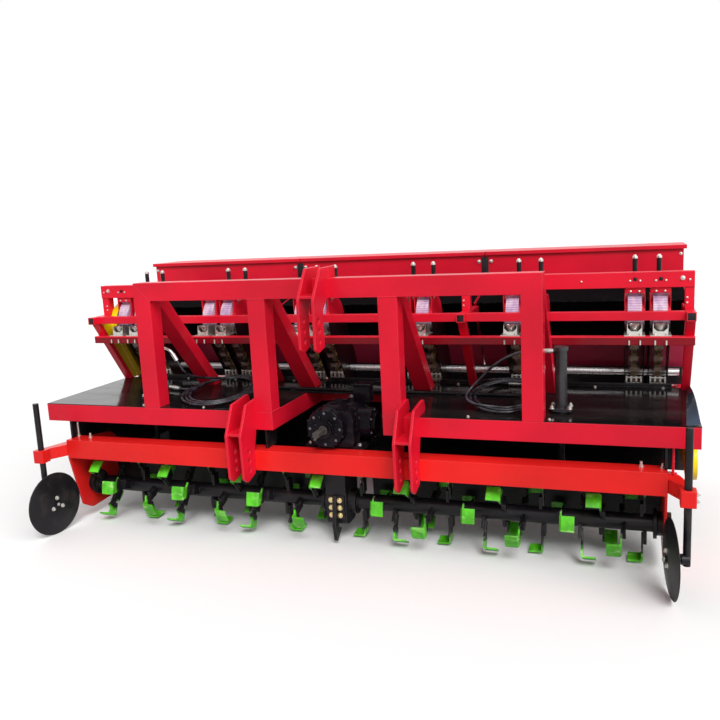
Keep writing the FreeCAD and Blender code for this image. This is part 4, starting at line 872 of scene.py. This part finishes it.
class PLANTER_OT_rear(bpy.types.Operator):
    """Finishes the furrow openers, press roller, guards and lift cylinders and adds a flange and bolts"""
    bl_idname = "planter.rear"
    bl_label = "Openers, Roller and Guards"

    def execute(self, context):
        paints = context.scene.planter_paints
        size = context.scene.planter_fixings.bolt * MM
        black = black_paint(paints)
        red = frame_paint(paints)
        zinc = zinc_plate(paints)
        coat(black, "press_roller", "furrow_openers")
        coat(red, "roller_arms")
        yellow = yellow_guard(paints)
        coat(yellow, "chain_guard_left", "chain_guard_right")
        # The flange closes the gap between the slanting tube and the guard, in strips round the ledge.
        flange = Shape()
        for foot, top, low, high in ((6, 261, (718, 758), (544, 600)), (261, 303, (544, 576), (516, 577)),
                                     (303, 372, (516, 575), (469, 572))):
            flange.plate([(FLANGE_X, low[0], foot), (FLANGE_X, low[1], foot), (FLANGE_X, high[1], top),
                          (FLANGE_X, high[0], top)], (1, 0, 0), 2.0)
        flange.make("guard_flange", yellow, slot="guard_yellow")
        coat(cylinder_paint(paints), "lift_cylinders")
        coat(zinc, "hose_plug_left", "hose_plug_right")
        coat(satin("rod_black", ink(26, 22, 24), wear=0.3, roughness=0.3, shine=0.1), "cylinder_rods")
        bolts = Shape()
        for side in (-1, 1):
            for x in (-38, 38):
                for y in (-30, 30):
                    bolts.bolt((side * CYLINDER_X + x, CYLINDER_Y + y, 26), UP, size * 1.1, stud=6)
            for y in (1240, 1280):
                bolts.bolt((side * 1458, y, -150), (side, 0, 0), size * 1.3)
        bolts.make("rear_bolts", zinc, slot="zinc")
        return {"FINISHED"}


LEFT_LEAD = [(-895, 170, 215), (-877, 170, 184), (-862, 182, 150), (-852, 222, 124), (-838, 286, 103),
             (-818, 356, 86), (-792, 414, 74), (-758, 466, 62)]
LEFT_TAIL = [(-908, 322, 37), (-938, 352, 27), (-985, 366, 16.3), (-1030, 381, 17.6)]
RIGHT_LEAD = [(976, 170, 280), (940, 170, 280), (886, 174, 274), (830, 186, 252), (778, 206, 220),
              (730, 228, 180), (692, 244, 138), (650, 248, 96), (626, 210, 66), (640, 154, 50),
              (688, 124, 38)]
RIGHT_TAIL = [(694, 506, 76), (648, 540, 64), (628, 594, 50), (647, 652, 33), (696, 692, 17.6),
              (752, 694, 17.6)]


def coil_points(middle, half, rise, turns, start, sense, fan_side, fan):
    """Points of loose turns, the first the smallest, that lie on the deck and lean up to the rear."""
    points = []
    per_turn = 16
    grow = 1.0 / math.cos(math.pi / per_turn)
    for i in range(round(turns * per_turn) + 1):
        t = i / per_turn
        angle = math.radians(start + sense * 360.0 * t)
        spacing = 15.0 + fan * (0.5 + 0.5 * math.cos(angle - math.radians(fan_side)))
        inset = spacing * (turns - t)
        x = middle[0] + (half[0] - inset) * grow * math.cos(angle)
        y = middle[1] + (half[1] - inset) * grow * math.sin(angle)
        z = 12.5 + rise * (y - (middle[1] - half[1] - 10)) + 1.5 * math.sin(2.0 * angle)
        points.append((x, y, z))
    return points


def hose(name, points, thickness, rubber):
    """Hose on one smooth spline through these control points."""
    curve = bpy.data.curves.new(name, "CURVE")
    curve.dimensions = "3D"
    curve.bevel_depth = thickness / 2
    curve.bevel_resolution = 3
    curve.resolution_u = 6
    curve.use_fill_caps = True
    spline = curve.splines.new("NURBS")
    spline.points.add(len(points) - 1)
    for spot, point in zip(spline.points, points):
        spot.co = (*at(*point), 1.0)
    spline.order_u = 3
    spline.use_endpoint_u = True
    curve.materials.append(rubber)
    piece = bpy.data.objects.new(name, curve)
    bpy.context.scene.collection.objects.link(piece)
    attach(piece, "machine")
    return piece


class PLANTER_OT_hoses(bpy.types.Operator):
    """Lays the two hydraulic hoses from the lift cylinders to their plugs, each in a loose coil"""
    bl_idname = "planter.hoses"
    bl_label = "Hydraulic Hoses"

    def execute(self, context):
        settings = context.scene.planter_hoses
        rubber = hose_rubber()
        thick = settings.thickness
        left = LEFT_LEAD + coil_points((-700, 275), (200, 240), 0.12, settings.turns - 0.25, 90.0, -1,
                                       -60.0, 8.0) + LEFT_TAIL
        left_hose = hose("hose_left", left, thick, rubber)
        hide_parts("hose_lead_left", "hose_coil_left", "hose_tail_left")
        right = RIGHT_LEAD + coil_points((800, 280), (180, 208), 0.169, settings.turns - 0.4375, 257.5, 1,
                                         -95.0, 11.0) + RIGHT_TAIL
        right_hose = hose("hose_right", right, thick, rubber)
        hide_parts("hose_lead_right", "hose_coil_right", "hose_tail_right")
        return {"FINISHED"}


class PLANTER_OT_stage(bpy.types.Operator):
    """Lays the pale floor and sets up the lamps, the sky and the camera"""
    bl_idname = "planter.stage"
    bl_label = "Stage"

    def execute(self, context):
        settings = context.scene.planter_stage
        floor = Finish("studio_floor")
        rays = [floor.node("ShaderNodeLightPath", {}, {}, "Is %s Ray" % kind)
                for kind in ("Camera", "Glossy", "Transmission")]
        seen = floor.sum("MAXIMUM", floor.sum("MAXIMUM", rays[0], rays[1]), rays[2])
        floor.shade(Base_Color=floor.blend(seen, (settings.bounce,) * 3, tuple(settings.floor)),
                    Roughness=0.9)
        ground = Shape()
        bmesh.ops.create_grid(ground.bm, x_segments=1, y_segments=1, size=60.0)
        mesh = bpy.data.meshes.new("floor")
        ground.bm.to_mesh(mesh)
        ground.bm.free()
        mesh.materials.append(floor.material)
        piece = bpy.data.objects.new("floor", mesh)
        piece.location.z = -0.001
        context.scene.collection.objects.link(piece)
        self.lamp(context, "key_lamp", settings.key, 24.0, (44.0, 0.0, 26.0))
        self.lamp(context, "side_lamp", settings.key, 60.0, (60.0, 0.0, 60.0))
        self.lamp(context, "rear_lamp", settings.key * 0.25, 60.0, (60.0, 0.0, -120.0))
        self.sky(context, settings)
        self.camera(context)
        context.scene.view_settings.view_transform = "Standard"
        return {"FINISHED"}

    def lamp(self, context, name, strength, softness, turn):
        light = bpy.data.lights.new(name, "SUN")
        light.energy = strength
        light.angle = math.radians(softness)
        lamp = bpy.data.objects.new(name, light)
        lamp.rotation_euler = [math.radians(a) for a in turn]
        context.scene.collection.objects.link(lamp)

    def sky(self, context, settings):
        """White where the camera and mirrors look, and plain soft light for the rest."""
        world = bpy.data.worlds.new("studio_sky")
        world.use_nodes = True
        nodes, links = world.node_tree.nodes, world.node_tree.links
        soft = nodes["Background"]
        soft.inputs["Color"].default_value = (1.0, 1.0, 1.0, 1.0)
        soft.inputs["Strength"].default_value = settings.sky
        seen = nodes.new("ShaderNodeBackground")
        seen.inputs["Color"].default_value = (1.0, 1.0, 1.0, 1.0)
        seen.inputs["Strength"].default_value = 1.0
        rays = nodes.new("ShaderNodeLightPath")
        direct = rays.outputs["Is Camera Ray"]
        for kind in ("Glossy", "Transmission"):
            either = nodes.new("ShaderNodeMath")
            either.operation = "MAXIMUM"
            links.new(direct, either.inputs[0])
            links.new(rays.outputs["Is %s Ray" % kind], either.inputs[1])
            direct = either.outputs[0]
        mix = nodes.new("ShaderNodeMixShader")
        links.new(direct, mix.inputs[0])
        links.new(soft.outputs[0], mix.inputs[1])
        links.new(seen.outputs[0], mix.inputs[2])
        links.new(mix.outputs[0], nodes["World Output"].inputs["Surface"])
        context.scene.world = world

    def camera(self, context):
        lens = bpy.data.cameras.new("view_camera")
        lens.sensor_width = 36.0
        lens.lens = 38.268
        lens.clip_end = 200.0
        camera = bpy.data.objects.new("view_camera", lens)
        swing, tilt, roll = (math.radians(a) for a in CAMERA_TURN)
        turn = Matrix.Rotation(swing, 4, "Z") @ Matrix.Rotation(tilt, 4, "X") @ Matrix.Rotation(roll, 4, "Z")
        camera.matrix_world = Matrix.Translation(at(*CAMERA_PLACE)) @ turn
        context.scene.collection.objects.link(camera)
        context.scene.camera = camera


class PLANTER_PT_panel(bpy.types.Panel):
    """Lists the planter's settings and the steps that build its looks"""
    bl_idname = "PLANTER_PT_panel"
    bl_label = "Garlic Planter"
    bl_space_type = "VIEW_3D"
    bl_region_type = "UI"
    bl_category = "Planter"

    def draw(self, context):
        for group in SETTINGS:
            box = self.layout.box()
            owner = getattr(context.scene, group)
            for name in owner.bl_rna.properties.keys():
                if name not in ("rna_type", "name"):
                    box.prop(owner, name)
        for step in STEPS:
            self.layout.operator(step.bl_idname)


SETTINGS = {"planter_paints": PlanterPaints, "planter_fixings": PlanterFixings, "planter_hoses": PlanterHoses,
            "planter_stage": PlanterStage}
STEPS = (PLANTER_OT_hoses, PLANTER_OT_frame, PLANTER_OT_deck, PLANTER_OT_tiller, PLANTER_OT_gearbox,
         PLANTER_OT_discs, PLANTER_OT_rows, PLANTER_OT_hopper, PLANTER_OT_rear, PLANTER_OT_stage)


def register():
    for owner in (*SETTINGS.values(), *STEPS, PLANTER_PT_panel):
        bpy.utils.register_class(owner)
    for name, group in SETTINGS.items():
        setattr(bpy.types.Scene, name, PointerProperty(type=group))


def unregister():
    for name in SETTINGS:
        delattr(bpy.types.Scene, name)
    for owner in (PLANTER_PT_panel, *reversed(STEPS), *SETTINGS.values()):
        bpy.utils.unregister_class(owner)


def main():
    register()
    for step in (bpy.ops.planter.hoses, bpy.ops.planter.frame, bpy.ops.planter.deck, bpy.ops.planter.tiller,
                 bpy.ops.planter.gearbox, bpy.ops.planter.discs, bpy.ops.planter.rows, bpy.ops.planter.hopper,
                 bpy.ops.planter.rear, bpy.ops.planter.stage):
        step()


if __name__ == "__main__":
    main()
